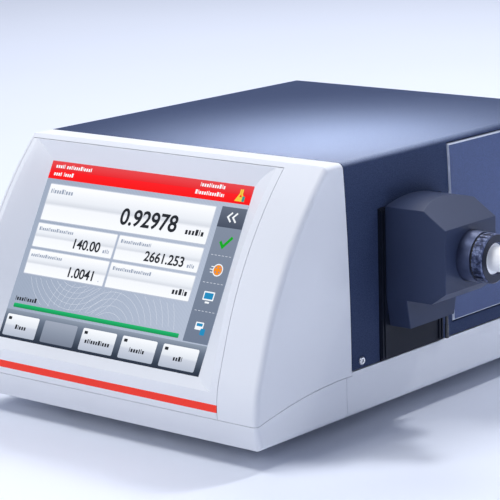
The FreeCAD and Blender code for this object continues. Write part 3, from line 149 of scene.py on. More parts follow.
def paint_beyond(tree, shader, place, side, plane_x, colour):
    """Second colour on the part whose X is LESS_THAN or GREATER_THAN a plane's."""
    first = shader.inputs["Base Color"].links[0].from_socket
    split = node(tree, "ShaderNodeSeparateXYZ")
    tree.links.new(place.outputs["Object"], split.inputs["Vector"])
    beyond = node(tree, "ShaderNodeMath", operation=side)
    beyond.inputs[1].default_value = plane_x
    tree.links.new(split.outputs["X"], beyond.inputs[0])
    mix = node(tree, "ShaderNodeMixRGB")
    mix.inputs["Color2"].default_value = (*colour, 1.0)
    tree.links.new(beyond.outputs["Value"], mix.inputs["Fac"])
    tree.links.new(first, mix.inputs["Color1"])
    tree.links.new(mix.outputs["Color"], shader.inputs["Base Color"])


print("shared parts of a finish ready")

# %% [markdown]
# ## Moulded plastic, rubber and glass
# Injection-moulded housings have one colour with the faintest clouds and a fine even
# grain from the mould. Clean plastic made of one flat colour looks like clay, so a broad
# noise tints it by a few hundredths and a very fine one raises the grain.

# %%
# Moulded finish
cloud_scale = 9.0


def grained(name, colour, rough, grain, bump, metallic=0.0, coat=0.0, vary=0.06, level=0.5):
    """Soft colour clouds, uneven gloss and a fine raised grain; level is how much it reflects."""
    made, tree, shader, place = new_material(name)
    vector = place.outputs["Object"]
    clouds = noise(tree, vector, cloud_scale, detail=4.0)
    tint = ramp(tree, clouds, [(0.3, shade(colour, 1 - vary)), (0.7, shade(colour, 1 + vary))])
    tree.links.new(tint, shader.inputs["Base Color"])
    smears = noise(tree, vector, cloud_scale * 3, detail=3.0)
    vary_gloss(tree, shader, smears, rough, share=0.15)
    raise_grain(tree, shader, noise(tree, vector, grain, roughness=0.6), bump, depth=0.15)
    shader.inputs["Metallic"].default_value = metallic
    shader.inputs["Coat Weight"].default_value = coat
    shader.inputs["Specular IOR Level"].default_value = level
    return made


print("moulded finish ready")

# %% [markdown]
# ## Textured paint
# The hood is sheet metal with a sprayed structure paint. Its tiny beads show as a
# two-tone speckle, whose lighter tone on top of each bead is a painted highlight, and
# as a grain under raking light. One noise drives both, because a grain that doesn't
# match its colours looks like dirt. The access panel has the same paint, and its
# bevelled rim catches the light, so everything set back from the face gets a painted
# highlight as a second colour.

# %%
# Speckled paint with a painted highlight on each bead, and the same paint with a painted highlight on its
# rim
rim_depth = 0.12 * mm


def speckled(name, colour, bead_highlight, rough, scale, bump, level=0.5):
    """Two-tone speckle with a raised grain that matches it; the lighter tone on the raised grain is a
    painted highlight.
    """
    made, tree, shader, place = new_material(name)
    beads = noise(tree, place.outputs["Object"], scale, detail=3.0, roughness=0.7)
    tree.links.new(ramp(tree, beads, [(0.38, colour), (0.62, bead_highlight)]), shader.inputs["Base Color"])
    vary_gloss(tree, shader, beads, rough, share=0.2)
    raise_grain(tree, shader, beads, bump, depth=0.2)
    shader.inputs["Specular IOR Level"].default_value = level
    return made


def speckled_with_lit_rim(name, colour, rim_highlight, rough, scale, bump, level, face_x):
    """Speckled paint on a face at face_x, with a painted highlight on the rim behind it."""
    made = speckled(name, colour, shade(colour, 1.5), rough, scale, bump, level)
    tree = made.node_tree
    shader = tree.nodes["Principled BSDF"]
    place = node(tree, "ShaderNodeTexCoord")
    # the rim behind the face gets a pale colour as a painted highlight
    paint_beyond(tree, shader, place, "LESS_THAN", face_x - rim_depth, rim_highlight)
    return made


print("textured paint ready")

# %% [markdown]
# ## Metal
# Turned and rolled metal has fine scratches along one axis. Stretching the coordinates
# before the noise draws them out, which is cheaper than an anisotropic shader and works
# in any renderer. The locking ring is dark coated metal; its bright patches are painted
# highlights, and its front face is darkened as painted shade.

# %%
# Scratched metal, and dark metal with painted highlights and painted shade
shaded_face_depth = 0.3 * mm


def brushed(name, colour, rough, stretch, scale):
    """Metal with fine scratches; stretch squeezes the noise along each axis."""
    made, tree, shader, place = new_material(name)
    mapping = node(tree, "ShaderNodeMapping")
    mapping.inputs["Scale"].default_value = stretch
    tree.links.new(place.outputs["Object"], mapping.inputs["Vector"])
    scratches = noise(tree, mapping.outputs["Vector"], scale, detail=4.0, roughness=0.65)
    tint = ramp(tree, scratches, [(0.3, shade(colour, 0.82)), (0.7, shade(colour, 1.12))])
    tree.links.new(tint, shader.inputs["Base Color"])
    vary_gloss(tree, shader, scratches, rough, share=0.3)
    raise_grain(tree, shader, scratches, strength=0.15, depth=0.05)
    shader.inputs["Metallic"].default_value = 1.0
    return made


def mottled(name, dark, patch_highlight, rough, scale, face_x):
    """Dark coated metal with bright patches of painted highlight, and painted shade on its front face at
    face_x.
    """
    made, tree, shader, place = new_material(name)
    patches = noise(tree, place.outputs["Object"], scale, detail=5.0, roughness=0.7)
    tint = ramp(tree, patches, [(0.42, dark), (0.50, shade(dark, 2.5)), (0.62, patch_highlight)])
    tree.links.new(tint, shader.inputs["Base Color"])
    # the front face is darkened as painted shade
    paint_beyond(tree, shader, place, "GREATER_THAN", face_x - shaded_face_depth, shade(dark, 0.5))
    tree.links.new(spread(tree, patches, rough * 1.3, rough * 0.8), shader.inputs["Roughness"])
    raise_grain(tree, shader, patches, strength=0.12, depth=0.1)
    shader.inputs["Metallic"].default_value = 0.8
    return made


print("metal ready")

# %% [markdown]
# ## Finishes of the outer pieces
# The front and the base are one pale moulding. The hood is dark blue-grey, the adapter's
# cover a darker plastic of the same hue, and the plate behind it near-black. The colours
# were set by reading the same places in the photograph and in a test render until they
# agreed. Paint and dark plastic reflect less than the shader's usual 0.5, because a full
# reflection lays a grey veil over a dark surface seen at a low angle.

# %%
# Outer finishes
pale = (0.74, 0.76, 0.81)
surfaces = {
    "housing plastic": grained("housing_plastic", pale, rough=0.46, grain=2600.0, bump=0.10,
                               vary=0.015, level=0.22),
    "accent red": grained("accent_red", (0.95, 0.045, 0.025), rough=0.45, grain=1800.0, bump=0.05,
                          vary=0.04, level=0.2),
    "screen glass": grained("screen_glass", (0.05, 0.06, 0.085), rough=0.14, grain=900.0, bump=0.01,
                            coat=0.5),
    # hood paint: the lighter speckle tone is a painted highlight on the bead tops
    "hood paint": speckled("hood_paint", (0.020, 0.032, 0.080), (0.048, 0.068, 0.138), rough=0.62,
                           scale=1500.0, bump=0.5, level=0.06),
    # panel paint: the pale rim colour is a painted highlight on the bevelled rim
    "panel paint": speckled_with_lit_rim("panel_paint", (0.054, 0.078, 0.175), (0.62, 0.66, 0.76), rough=0.50,
                          scale=1500.0, bump=0.35, level=0.18, face_x=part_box("side_access_panel")[1].x),
    "rear paint": speckled("rear_paint", (0.05, 0.055, 0.07), (0.075, 0.08, 0.10), rough=0.5,
                           scale=1300.0, bump=0.4),
    "screw steel": brushed("screw_steel", (0.62, 0.63, 0.66), rough=0.28, stretch=(1, 1, 1),
                           scale=900.0),
    "foot rubber": grained("foot_rubber", (0.018, 0.018, 0.02), rough=0.75, grain=1200.0, bump=0.3,
                           vary=0.15),
    "plate black": grained("plate_black", (0.010, 0.013, 0.024), rough=0.45, grain=1800.0, bump=0.15,
                           vary=0.2, level=0.1),
    "cover plastic": grained("cover_plastic", (0.034, 0.047, 0.098), rough=0.44, grain=2200.0, bump=0.2,
                             vary=0.08, level=0.15),
    "block metal": brushed("block_metal", (0.5, 0.51, 0.54), rough=0.35, stretch=(1, 6, 1),
                           scale=400.0),
    "collar black": grained("collar_black", (0.075, 0.095, 0.18), rough=0.42, grain=900.0, bump=0.02,
                            metallic=0.6, vary=0.1),
    "seal rubber": grained("seal_rubber", (0.008, 0.008, 0.008), rough=0.6, grain=1500.0, bump=0.2,
                           vary=0.1),
    # ring metal: the bright patches are painted highlights, the dark front face painted shade
    "ring metal": mottled("ring_metal", (0.028, 0.035, 0.07), (0.20, 0.24, 0.38), rough=0.40,
                          scale=150.0, face_x=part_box("locking_ring")[1].x),
    "nozzle white": grained("nozzle_white", (0.92, 0.93, 0.95), rough=0.45, grain=1500.0, bump=0.04,
                            vary=0.02),
    "tube dark": grained("tube_dark", (0.02, 0.024, 0.034), rough=0.25, grain=900.0, bump=0.04,
                         vary=0.1),
    "socket black": grained("socket_black", (0.013, 0.013, 0.015), rough=0.5, grain=1600.0, bump=0.15,
                            vary=0.15),
    "socket metal": brushed("socket_metal", (0.65, 0.66, 0.68), rough=0.25, stretch=(1, 1, 5),
                            scale=300.0),
}
print("outer finishes", len(surfaces))

# %% [markdown]
# ## Finishes of the inner pieces
# The hood hides the measuring cell, the boards and the air supply, but the part can be
# opened, so they get the colours that such pieces have: a copper-toned cell block, green
# boards, grey foam, plated steel, white ceramic and orange drying beads.

# %%
# Inner finishes
surfaces.update({
    "cell metal": brushed("cell_metal", (0.62, 0.33, 0.20), rough=0.35, stretch=(1, 5, 1), scale=300.0),
    "board green": speckled("board_green", (0.02, 0.12, 0.06), (0.03, 0.16, 0.08), rough=0.4,
                            scale=800.0, bump=0.2),
    "foam grey": speckled("foam_grey", (0.10, 0.10, 0.11), (0.16, 0.16, 0.17), rough=0.9,
                          scale=500.0, bump=1.0),
    "zinc": brushed("zinc", (0.55, 0.56, 0.55), rough=0.4, stretch=(1, 4, 1), scale=200.0),
    "pump grey": grained("pump_grey", (0.16, 0.17, 0.19), rough=0.45, grain=1200.0, bump=0.15),
    "dryer": speckled("dryer_beads", (0.62, 0.40, 0.22), (0.75, 0.55, 0.38), rough=0.3,
                      scale=350.0, bump=0.6),
    "ceramic": grained("ceramic_white", (0.78, 0.78, 0.76), rough=0.5, grain=900.0, bump=0.08),
    "glass": grained("cell_glass", (0.75, 0.85, 0.88), rough=0.05, grain=400.0, bump=0.01),
})
print("all finishes", len(surfaces))

# %% [markdown]
# ## Dressing the solids
# Each solid of the frame has one finish for the whole of it, as a moulding or a painted
# sheet does. The table says which, and the last line prints any solid left out.

# %%
# Finish of each solid
dressed = {
    "housing plastic": ["front_housing", "front_base", "base_pan", "display_insert"],
    "accent red": ["accent_strip"],
    "screen glass": ["touch_glass", "display_panel"],
    "hood paint": ["hood"],
    "panel paint": ["side_access_panel"],
    "screw steel": ["side_screws", "foot_screws", "chassis_screws", "board_standoffs"],
    "rear paint": ["rear_panel"],
    "foot rubber": ["foot_front_left", "foot_front_right", "foot_rear_left", "foot_rear_right"],
    "plate black": ["adapter_plate"],
    "cover plastic": ["adapter_cover"],
    "block metal": ["inlet_block", "heat_sink"],
    "collar black": ["inlet_collar"],
    "seal rubber": ["collar_seal", "display_gasket"],
    "ring metal": ["locking_ring"],
    "nozzle white": ["filling_nozzle"],
    "tube dark": ["drain_tube"],
    "cell metal": ["cell_lower_half", "cell_upper_half"],
    "board green": ["display_board", "main_board"],
    "foam grey": ["cell_insulation"],
    "zinc": ["chassis_plate", "cell_bracket", "power_supply", "port_plate"],
    "pump grey": ["air_pump"],
    "dryer": ["drying_cartridge"],
    "ceramic": ["peltier_modules"],
    "socket black": ["power_inlet", "switch_frame", "switch_rocker", "fan_frame", "fan_rotor"],
    "socket metal": ["usb_sockets", "network_socket", "serial_socket", "fan_guard", "hose_nipples"],
    "glass": ["measuring_tube"],
}
for surface, names in dressed.items():
    for name in names:
        nodes[name].data.materials.clear()
        nodes[name].data.materials.append(surfaces[surface])
undressed = sorted(set(nodes) - {name for names in dressed.values() for name in names})
print("finishes used", len(dressed), "solids left out", undressed)

# %% [markdown]
# ## The screen's own plane
# The touch glass leans back in its recess. Everything shown on it is laid out flat, in
# millimetres from the lower left corner of the visible area, and then placed by one
# matrix. That is easier than modelling on the slope, and it follows the glass if its
# angle changes. The glass is a plain slab, so its highest and its foremost corner give
# the line up its front.

# %%
# Screen plane
glass_margin = 5.0
glass_low, glass_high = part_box("touch_glass")
corners = [v.co for v in nodes["touch_glass"].data.vertices]
upper_edge = max(corners, key=lambda c: c.z)
lower_edge = min(corners, key=lambda c: c.y)
screen_up = Vector((0, upper_edge.y - lower_edge.y, upper_edge.z - lower_edge.z))
glass_height = screen_up.length
screen_up.normalize()
screen_right = Vector((1, 0, 0))
screen_out = screen_right.cross(screen_up)
glass_corner = Vector((glass_low.x, lower_edge.y, lower_edge.z))
screen_origin = glass_corner + (screen_right + screen_up) * glass_margin * mm
screen_width = (glass_high.x - glass_low.x) / mm - 2 * glass_margin
screen_height = glass_height / mm - 2 * glass_margin


def screen_matrix(u, v, lift):
    """Places a flat piece at u, v on the screen, lift above the glass, all in millimetres."""
    place = screen_origin + screen_right * u * mm + screen_up * v * mm + screen_out * lift * mm
    turn = Matrix((screen_right, screen_up, screen_out)).transposed().to_4x4()
    return Matrix.Translation(place) @ turn @ Matrix.Scale(mm, 4)


print("screen", round(screen_width, 1), "by", round(screen_height, 1), "mm")

# %% [markdown]
# ## Thin plates
# A picture on a screen is only light, but an image texture is out of the question here,
# and flat colour regions in one shader would be hard to edit. So each field of the
# picture becomes a plate a few hundredths of a millimetre thick, as cut foil would be.
# Layers lie at fixed lifts above the glass, far enough apart that none flickers through
# another. A plate starts as a grid of one face, has its corners bevelled round, is
# extruded to its thickness, and may get a fine bevel on its face. Its own UV map runs
# from 0 to 1 across it, for the gradients.

# %%
# Layers, and groups of pieces as one object
ground_lift = 0.02
panel_lift = 0.07
icon_lift = 0.08
face_lift = 0.12
mark_lift = 0.14
ink_lift = 0.18
top_lift = 0.20


def add_to(group, piece, matrix):
    """Adds a placed piece to a group; the piece is used up."""
    piece.transform(matrix)
    carrier = bpy.data.meshes.new("carrier")
    piece.to_mesh(carrier)
    piece.free()
    group.from_mesh(carrier)
    bpy.data.meshes.remove(carrier)


def add_object(name, data):
    made = bpy.data.objects.new(name, data)
    bpy.context.scene.collection.objects.link(made)
    return made


def finish_group(group, name, body, material):
    """Turns a group into an object that rides on a body of the part."""
    bmesh.ops.recalc_face_normals(group, faces=group.faces[:])
    mesh = bpy.data.meshes.new(name)
    group.to_mesh(mesh)
    group.free()
    mesh.materials.append(material)
    made = add_object(name, mesh)
    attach(made, body)
    print(name, "faces", len(mesh.polygons))


print("layers from", ground_lift, "to", top_lift, "mm above the glass")

# %%
# One plate, and an object made of plates
round_segments = 5


def thicken(piece, thickness):
    """Extrudes a flat piece from the glass outwards."""
    grown = bmesh.ops.extrude_face_region(piece, geom=piece.faces[:])
    lifted = [g for g in grown["geom"] if isinstance(g, bmesh.types.BMVert)]
    bmesh.ops.translate(piece, vec=(0, 0, thickness), verts=lifted)


def plate(width, height, thickness, radius, edge):
    """Rounded plate centred on its own middle, with a fine bevel round its face."""
    piece = bmesh.new()
    bmesh.ops.create_grid(piece, x_segments=1, y_segments=1, size=0.5)
    bmesh.ops.scale(piece, vec=(width, height, 1), verts=piece.verts)
    if radius > 0:
        bmesh.ops.bevel(piece, geom=piece.verts[:], offset=radius, segments=round_segments,
                        profile=0.5, affect="VERTICES", material=-1)
    thicken(piece, thickness)
    if edge > 0:
        rim = [e for e in piece.edges if all(abs(v.co.z - thickness) < 1e-6 for v in e.verts)]
        bmesh.ops.bevel(piece, geom=rim, offset=edge, segments=2,
                        profile=0.5, affect="EDGES", material=-1)
    layer = piece.loops.layers.uv.new("plate")
    for face in piece.faces:
        for loop in face.loops:
            loop[layer].uv = (loop.vert.co.x / width + 0.5, loop.vert.co.y / height + 0.5)
    return piece


def add_plate(group, box, lift, thickness, radius=0.0, edge=0.0):
    """Adds the plate that fills box: its left, right, lower and upper side on the screen."""
    u0, u1, v0, v1 = box
    middle = screen_matrix((u0 + u1) / 2, (v0 + v1) / 2, lift)
    add_to(group, plate(u1 - u0, v1 - v0, thickness, radius, edge), middle)


def screen_plates(name, material, boxes, lift, thickness, radius=0.0, edge=0.0):
    """One object on the screen, made of a plate for each box."""
    group = bmesh.new()
    for box in boxes:
        add_plate(group, box, lift, thickness, radius, edge)
    finish_group(group, name, "housing", material)


print("plates ready, corners in", round_segments, "steps")

# %% [markdown]
# ## Screen colours
# A backlit screen shines by itself and keeps its colours when the room's light changes,
# so its colour goes into the emission, with an eighth of it in the base colour. Buttons
# and cards carry soft gradients from bottom to top: these run up the plate's own UV map.
# A fine noise keeps every tone from being flat. The background gets slanting pinstripes
# from a wave texture on the same map.

# %%
# Materials that shine
def lit_shader(tree, shader, factor, stops):
    """Emission from a ramp of stops, and a dim copy of it as the base colour."""
    dim_stops = [(p, shade(c, 0.12)) for p, c in stops]
    tree.links.new(ramp(tree, factor, dim_stops), shader.inputs["Base Color"])
    tree.links.new(ramp(tree, factor, stops), shader.inputs["Emission Color"])
    shader.inputs["Emission Strength"].default_value = 0.92
    shader.inputs["Roughness"].default_value = 0.5
    shader.inputs["Specular IOR Level"].default_value = 0.12


def plate_axis(tree, axis, shift):
    """Place along one axis of a plate's UV map, moved by a small pattern."""
    uv = node(tree, "ShaderNodeUVMap", uv_map="plate")
    split = node(tree, "ShaderNodeSeparateXYZ")
    tree.links.new(uv.outputs["UV"], split.inputs["Vector"])
    moved = node(tree, "ShaderNodeMath", operation="ADD")
    tree.links.new(split.outputs[axis], moved.inputs[0])
    tree.links.new(shift, moved.inputs[1])
    return moved.outputs["Value"]


def screen_grain(tree, place):
    return noise(tree, place.outputs["Object"], scale=1400.0)


def lit(name, stops):
    """Screen colour given at heights up each plate."""
    made, tree, shader, place = new_material(name)
    shift = spread(tree, screen_grain(tree, place), -0.02, 0.02)
    lit_shader(tree, shader, plate_axis(tree, "Y", shift), stops)
    return made


def lit_plain(name, colour):
    """Even screen colour for strokes and figures, with a faint fine grain."""
    made, tree, shader, place = new_material(name)
    stops = [(0.3, shade(colour, 0.94)), (0.7, shade(colour, 1.06))]
    lit_shader(tree, shader, screen_grain(tree, place), stops)
    return made


def pinstriped(name, left, right):
    """Screen background that drifts from left to right under slanting pinstripes."""
    made, tree, shader, place = new_material(name)
    uv = node(tree, "ShaderNodeUVMap", uv_map="plate")
    stripes = node(tree, "ShaderNodeTexWave", wave_type="BANDS", bands_direction="DIAGONAL")
    stripes.inputs["Scale"].default_value = 34.0
    tree.links.new(uv.outputs["UV"], stripes.inputs["Vector"])
    across = plate_axis(tree, "X", spread(tree, stripes.outputs["Fac"], -0.10, 0.10))
    lit_shader(tree, shader, across, [(0.0, left), (1.0, right)])
    return made


print("shining materials ready")

# %% [markdown]
# ## Background and header
# The picture starts with its grey-blue ground and the red band along its top, whose upper
# half is the duller one. The two halves are two plates, because a step between two tones
# is sharper as an edge than as a stop in a ramp.

# %%
# Background and header band
sky = pinstriped("screen_sky", (0.33, 0.39, 0.50), (0.45, 0.51, 0.63))
header_low = lit("header_low", [(0.0, (0.92, 0.0, 0.0)), (1.0, (0.95, 0.005, 0.01))])
header_high = lit("header_high", [(0.0, (0.80, 0.015, 0.02)), (1.0, (0.78, 0.06, 0.07))])
header_foot = 145.5
header_middle = 153.5
screen_plates("screen_background", sky, [(0, screen_width, 0, screen_height)], ground_lift,
              thickness=0.04)
screen_plates("screen_header_low", header_low, [(0, screen_width, header_foot, header_middle)],
              panel_lift, thickness=0.05)
screen_plates("screen_header_high", header_high, [(0, screen_width, header_middle, screen_height)],
              panel_lift, thickness=0.05)

# %% [markdown]
# ## Reading cards
# Five cards carry the readings: a wide one on top and two rows of two. Each is a glossy
# white field with a fold of grey just below its middle, in a thin grey frame. The frame
# is a slightly larger plate one layer below, which costs less than an outline and never
# leaves a gap.

# %%
# Cards and their frames
card = lit("card", [(0.0, (0.92, 0.94, 0.97)), (0.40, (0.88, 0.90, 0.94)), (0.47, (0.66, 0.69, 0.75)),
                    (0.60, (0.80, 0.83, 0.88)), (1.0, (0.96, 0.97, 0.99))])
card_edge = lit("card_edge", [(0.0, (0.50, 0.54, 0.63)), (1.0, (0.62, 0.66, 0.74))])
cards_left = 6.5
cards_right = 196.5
left_card_end = 100.0
right_card_start = 103.0
cards = [(cards_left, cards_right, 108.0, 140.5)]
for foot, top in ((83.5, 104.5), (59.0, 80.5)):
    cards += [(cards_left, left_card_end, foot, top), (right_card_start, cards_right, foot, top)]
frame_width = 0.7
framed = [(u0 - frame_width, u1 + frame_width, v0 - frame_width, v1 + frame_width)
          for u0, u1, v0, v1 in cards]
screen_plates("screen_card_edges", card_edge, framed, panel_lift, thickness=0.04, radius=1.2)
screen_plates("screen_cards", card, cards, face_lift, thickness=0.05, radius=0.8)

# %% [markdown]
# ## Icon column and progress bar
# A dark column at the right holds the icons, parted by dashed rules, with a darker tile
# at its top. A green bar runs under the cards.

# %%
# Column, tile, rules and bar
column = lit("icon_column", [(0.0, (0.15, 0.19, 0.27)), (1.0, (0.22, 0.26, 0.34))])
cell_dark = lit("cell_dark", [(0.0, (0.055, 0.07, 0.11)), (1.0, (0.12, 0.145, 0.20))])
bar_green = lit("bar_green", [(0.0, (0.0, 0.25, 0.07)), (0.5, (0.0, 0.38, 0.11)),
                              (1.0, (0.01, 0.45, 0.16))])
thin_line = lit_plain("thin_line", (0.70, 0.74, 0.82))
column_left = 203.0
column_right = screen_width - 0.3
column_foot = 26.5
column_top = 142.0
tile_foot = 124.5
dash_feet = (100.5, 77.0, 53.0)
dash_count = 6
dash_pitch = 3.8
dash_left = 206.0
dash_length = 2.2
dash_width = 0.4
bar_right = 197.5
bar_foot = 27.8
bar_top = 31.6
rules = [(dash_left + i * dash_pitch, dash_left + i * dash_pitch + dash_length, v, v + dash_width)
         for v in dash_feet for i in range(dash_count)]
screen_plates("screen_icon_column", column, [(column_left, column_right, column_foot, column_top)],
              panel_lift, thickness=0.04)
screen_plates("screen_icon_rules", thin_line, rules, face_lift, thickness=0.03)
screen_plates("screen_icon_tile", cell_dark, [(column_left, column_right, tile_foot, column_top)],
              face_lift, thickness=0.05, edge=0.04)
screen_plates("screen_progress_bar", bar_green, [(cards_left, bar_right, bar_foot, bar_top)],
              face_lift, thickness=0.06, radius=0.9, edge=0.02)

# %% [markdown]
# ## Buttons
# Five touch buttons stand on a navy strip along the bottom. Their gradient darkens
# downwards, which makes them look raised, and a fine bevel catches a real light too. The
# second one is greyed out, so it is an object of its own with a darker finish.

# %%
# Button strip and buttons
navy = lit("navy", [(0.0, (0.012, 0.02, 0.04)), (0.2, (0.03, 0.045, 0.075)),
                    (0.75, (0.13, 0.165, 0.23)), (1.0, (0.26, 0.31, 0.39))])
button = lit("button", [(0.0, (0.44, 0.49, 0.59)), (0.45, (0.58, 0.62, 0.71)),
                        (0.55, (0.74, 0.78, 0.84)), (1.0, (0.92, 0.94, 0.97))])
button_off = lit("button_off", [(0.0, (0.18, 0.21, 0.28)), (0.5, (0.25, 0.29, 0.37)),
                                (1.0, (0.34, 0.38, 0.47))])
strip_height = 25.5
button_count = 5
button_resting = 1
button_pitch = 45.4
button_width = 38.5
button_left = 3.5
button_foot = 2.5
button_top = 21.5
buttons = [(button_left + i * button_pitch, button_left + i * button_pitch + button_width,
            button_foot, button_top) for i in range(button_count)]
screen_plates("screen_button_strip", navy, [(0, screen_width, 0, strip_height)], panel_lift,
              thickness=0.03)
screen_plates("screen_buttons", button, buttons[:button_resting] + buttons[button_resting + 1:],
              face_lift, thickness=0.07, radius=1.4, edge=0.05)
screen_plates("screen_button_off", button_off, [buttons[button_resting]],
              face_lift, thickness=0.07, radius=1.4, edge=0.05)

# %% [markdown]
# ## Strokes
# Ticks, chevrons, rings and arcs are lines of an even width. A curve object with a bevel
# could draw them, but it is round in section and has to be made a mesh anyway. Here the
# left edge of the line is laid down point by point, extruded once into a band, and the
# new points are moved across to the right edge. Each point moves along the mitre of its
# corner, so the band keeps its width through a bend.

# %%
# Bands of even width
def mitres(line, width):
    """From each point of a line, half the band's width across, along the corner's mitre."""
    across = []
    for i, point in enumerate(line):
        into = (point - line[i - 1]).normalized() if i > 0 else (line[1] - point).normalized()
        out = (line[i + 1] - point).normalized() if i < len(line) - 1 else into
        along = (into + out).normalized()
        across.append(Vector((-along.y, along.x, 0)) * (width / 2) / max(0.3, along.dot(into)))
    return across


def stroke(points, width, thickness):
    """Flat band along an open line of (x, y) points."""
    piece = bmesh.new()
    line = [Vector((x, y, 0)) for x, y in points]
    across = mitres(line, width)
    left = [piece.verts.new(point + side) for point, side in zip(line, across)]
    wire = [piece.edges.new(pair) for pair in zip(left, left[1:])]
    band = bmesh.ops.extrude_edge_only(piece, edges=wire)
    right = {g for g in band["geom"] if isinstance(g, bmesh.types.BMVert)}
    for corner, side in zip(left, across):
        for rung in corner.link_edges:
            if rung.other_vert(corner) in right:
                rung.other_vert(corner).co -= side * 2
    thicken(piece, thickness)
    return piece


def add_stroke(group, u, v, lift, points, width, thickness=0.06):
    add_to(group, stroke(points, width, thickness), screen_matrix(u, v, lift))


def circle_points(radius, count, start=0.0):
    """Points round a circle; the last one closes it."""
    turns = [start + 2 * math.pi * i / count for i in range(count + 1)]
    return [(radius * math.cos(turn), radius * math.sin(turn)) for turn in turns]


print("strokes ready")

# %% [markdown]
# ## Faint arcs
# Between the cards and the bar the background shows two sets of fine rings, like ripples.
# Only the part of each ring that lies in the gap is drawn, so a ring is walked point by
# point and cut into the runs that fall inside.

# %%
# Arcs in the gap
arc_width = 0.22
gap_low = 33.0
gap_high = 57.5
gap_right = 196.0
circle_steps = 120
# Each set has the place of its centre and its radii.
ripples = ((118.0, 18.0, range(20, 76, 6)), (70.0, 84.0, range(30, 62, 5)))


def runs_in_gap(centre_u, centre_v, radius):
    """Parts of a circle that lie in the gap, as lists of points."""
    runs = [[]]
    for x, y in circle_points(radius, circle_steps):
        if gap_low < centre_v + y < gap_high and cards_left < centre_u + x < gap_right:
            runs[-1].append((x, y))
        elif runs[-1]:
            runs.append([])
    return [run for run in runs if len(run) > 2]


arcs = bmesh.new()
for centre_u, centre_v, radii in ripples:
    for radius in radii:
        for run in runs_in_gap(centre_u, centre_v, radius):
            add_stroke(arcs, centre_u, centre_v, panel_lift, run, arc_width, thickness=0.02)
finish_group(arcs, "screen_arcs", "housing", thin_line)

# %% [markdown]
# ## Icons
# The column holds two white chevrons on its tile, a green tick, a white ring with an
# orange ball, and two small monitors. Each is a few strokes and plates, because at this
# size only their outline and colour can be told.

# %%
# Chevrons and tick
white = lit_plain("white_mark", (0.90, 0.93, 0.97))
green = lit_plain("green_mark", (0.0, 0.37, 0.01))
icon_u = 217.0
chevrons_v = 133.5
tick_v = 112.0
chevron = [(2.0, 4.0), (-2.0, 0), (2.0, -4.0)]
marks = bmesh.new()
for shift in (-3.2, 2.2):
    add_stroke(marks, icon_u + shift, chevrons_v, mark_lift, chevron, width=1.5)
finish_group(marks, "icon_chevrons", "housing", white)
tick = bmesh.new()
add_stroke(tick, icon_u, tick_v, icon_lift, [(-5.5, 0.5), (-1.8, -4.0), (6.0, 5.0)], width=2.6)
finish_group(tick, "icon_tick", "housing", green)

# %%
# Ring, ball and spots
orange = lit_plain("orange_mark", (0.90, 0.27, 0.01))
blue = lit_plain("blue_mark", (0.01, 0.25, 0.50))
ball_u = icon_u + 0.6
ball_v = 88.5
ball_steps = 24
ball_radius = 4.2
ring_radius = 4.9
trail_end = 4.6
ball_lift = 0.10
spot_count = 4
spot_half = 0.55
spot_reach = 2.6
spot_lift = 0.16
ring = bmesh.new()
add_stroke(ring, ball_u, ball_v, icon_lift, circle_points(ring_radius, ball_steps), width=0.9)
for rise, reach in ((2.4, 7.6), (0.0, 8.6), (-2.4, 7.6)):
    add_stroke(ring, ball_u, ball_v + rise, icon_lift, [(-reach, 0), (-trail_end, 0)], width=0.7)
finish_group(ring, "icon_ring", "housing", white)
ball = bmesh.new()
add_stroke(ball, ball_u, ball_v, ball_lift, circle_points(ball_radius / 2, ball_steps), ball_radius)
finish_group(ball, "icon_ball", "housing", orange)
spots = [(ball_u + x - spot_half, ball_u + x + spot_half,
          ball_v + y - spot_half, ball_v + y + spot_half)
         for x, y in circle_points(spot_reach, spot_count, start=math.pi / 4)]
screen_plates("icon_spots", blue, spots, spot_lift, thickness=0.03, radius=0.3)

# %%
# Monitors: left, right, foot and top, then a thickness for the insets, and a corner radius
stands = [(icon_u - 6.5, icon_u + 5.0, 62.5, 70.0, 0.6), (icon_u - 3.0, icon_u + 1.5, 60.0, 61.5, 0.3),
          (icon_u - 5.5, icon_u + 3.0, 37.5, 44.0, 0.6)]
pictures = [(icon_u - 5.4, icon_u + 3.9, 63.6, 68.9, 0.04, 0.4),
            (icon_u - 4.4, icon_u + 1.9, 40.5, 43.0, 0.04, 0.4),
            (icon_u + 1.0, icon_u + 6.0, 33.5, 39.0, 0.05, 0.6)]
screens = bmesh.new()
for *box, radius in stands:
    add_plate(screens, box, icon_lift, 0.05, radius, edge=0.04)
finish_group(screens, "icon_screens", "housing", white)
inset = bmesh.new()
for *box, thickness, radius in pictures:
    add_plate(inset, box, mark_lift, thickness, radius, edge=0.04)
finish_group(inset, "icon_insets", "housing", blue)

# %%
# Flask and hand in the header
yellow = lit_plain("yellow_mark", (0.88, 0.60, 0.05))
teal = lit_plain("teal_mark", (0.02, 0.30, 0.28))
flask_u = 218.5
flask_v = 153.0
outline = [(-0.9, 5.0), (-0.9, 1.0), (-4.0, -4.6), (4.0, -4.6), (0.9, 1.0), (0.9, 5.0)]
flask = bmesh.new()
add_stroke(flask, flask_u, flask_v, mark_lift, outline, width=1.5)
add_plate(flask, (216.2, 220.8, 148.6, 151.4), mark_lift, thickness=0.05, radius=0.4, edge=0.04)
finish_group(flask, "header_flask", "housing", yellow)
screen_plates("header_hand", teal, [(220.6, 223.4, 147.6, 152.2)], top_lift,
              thickness=0.05, radius=0.6, edge=0.04)

# %% [markdown]
# ## Figures
# The readings are set in a bold upright face. Text starts as a font curve, which is
# thickened a little for the bold look, and is made a mesh before it is placed, so that
# the finished object stands at the origin like every other.

# %%
# Readings
ink = lit_plain("ink", (0.012, 0.015, 0.022))
bold_share = 0.022
figure_thickness = 0.03


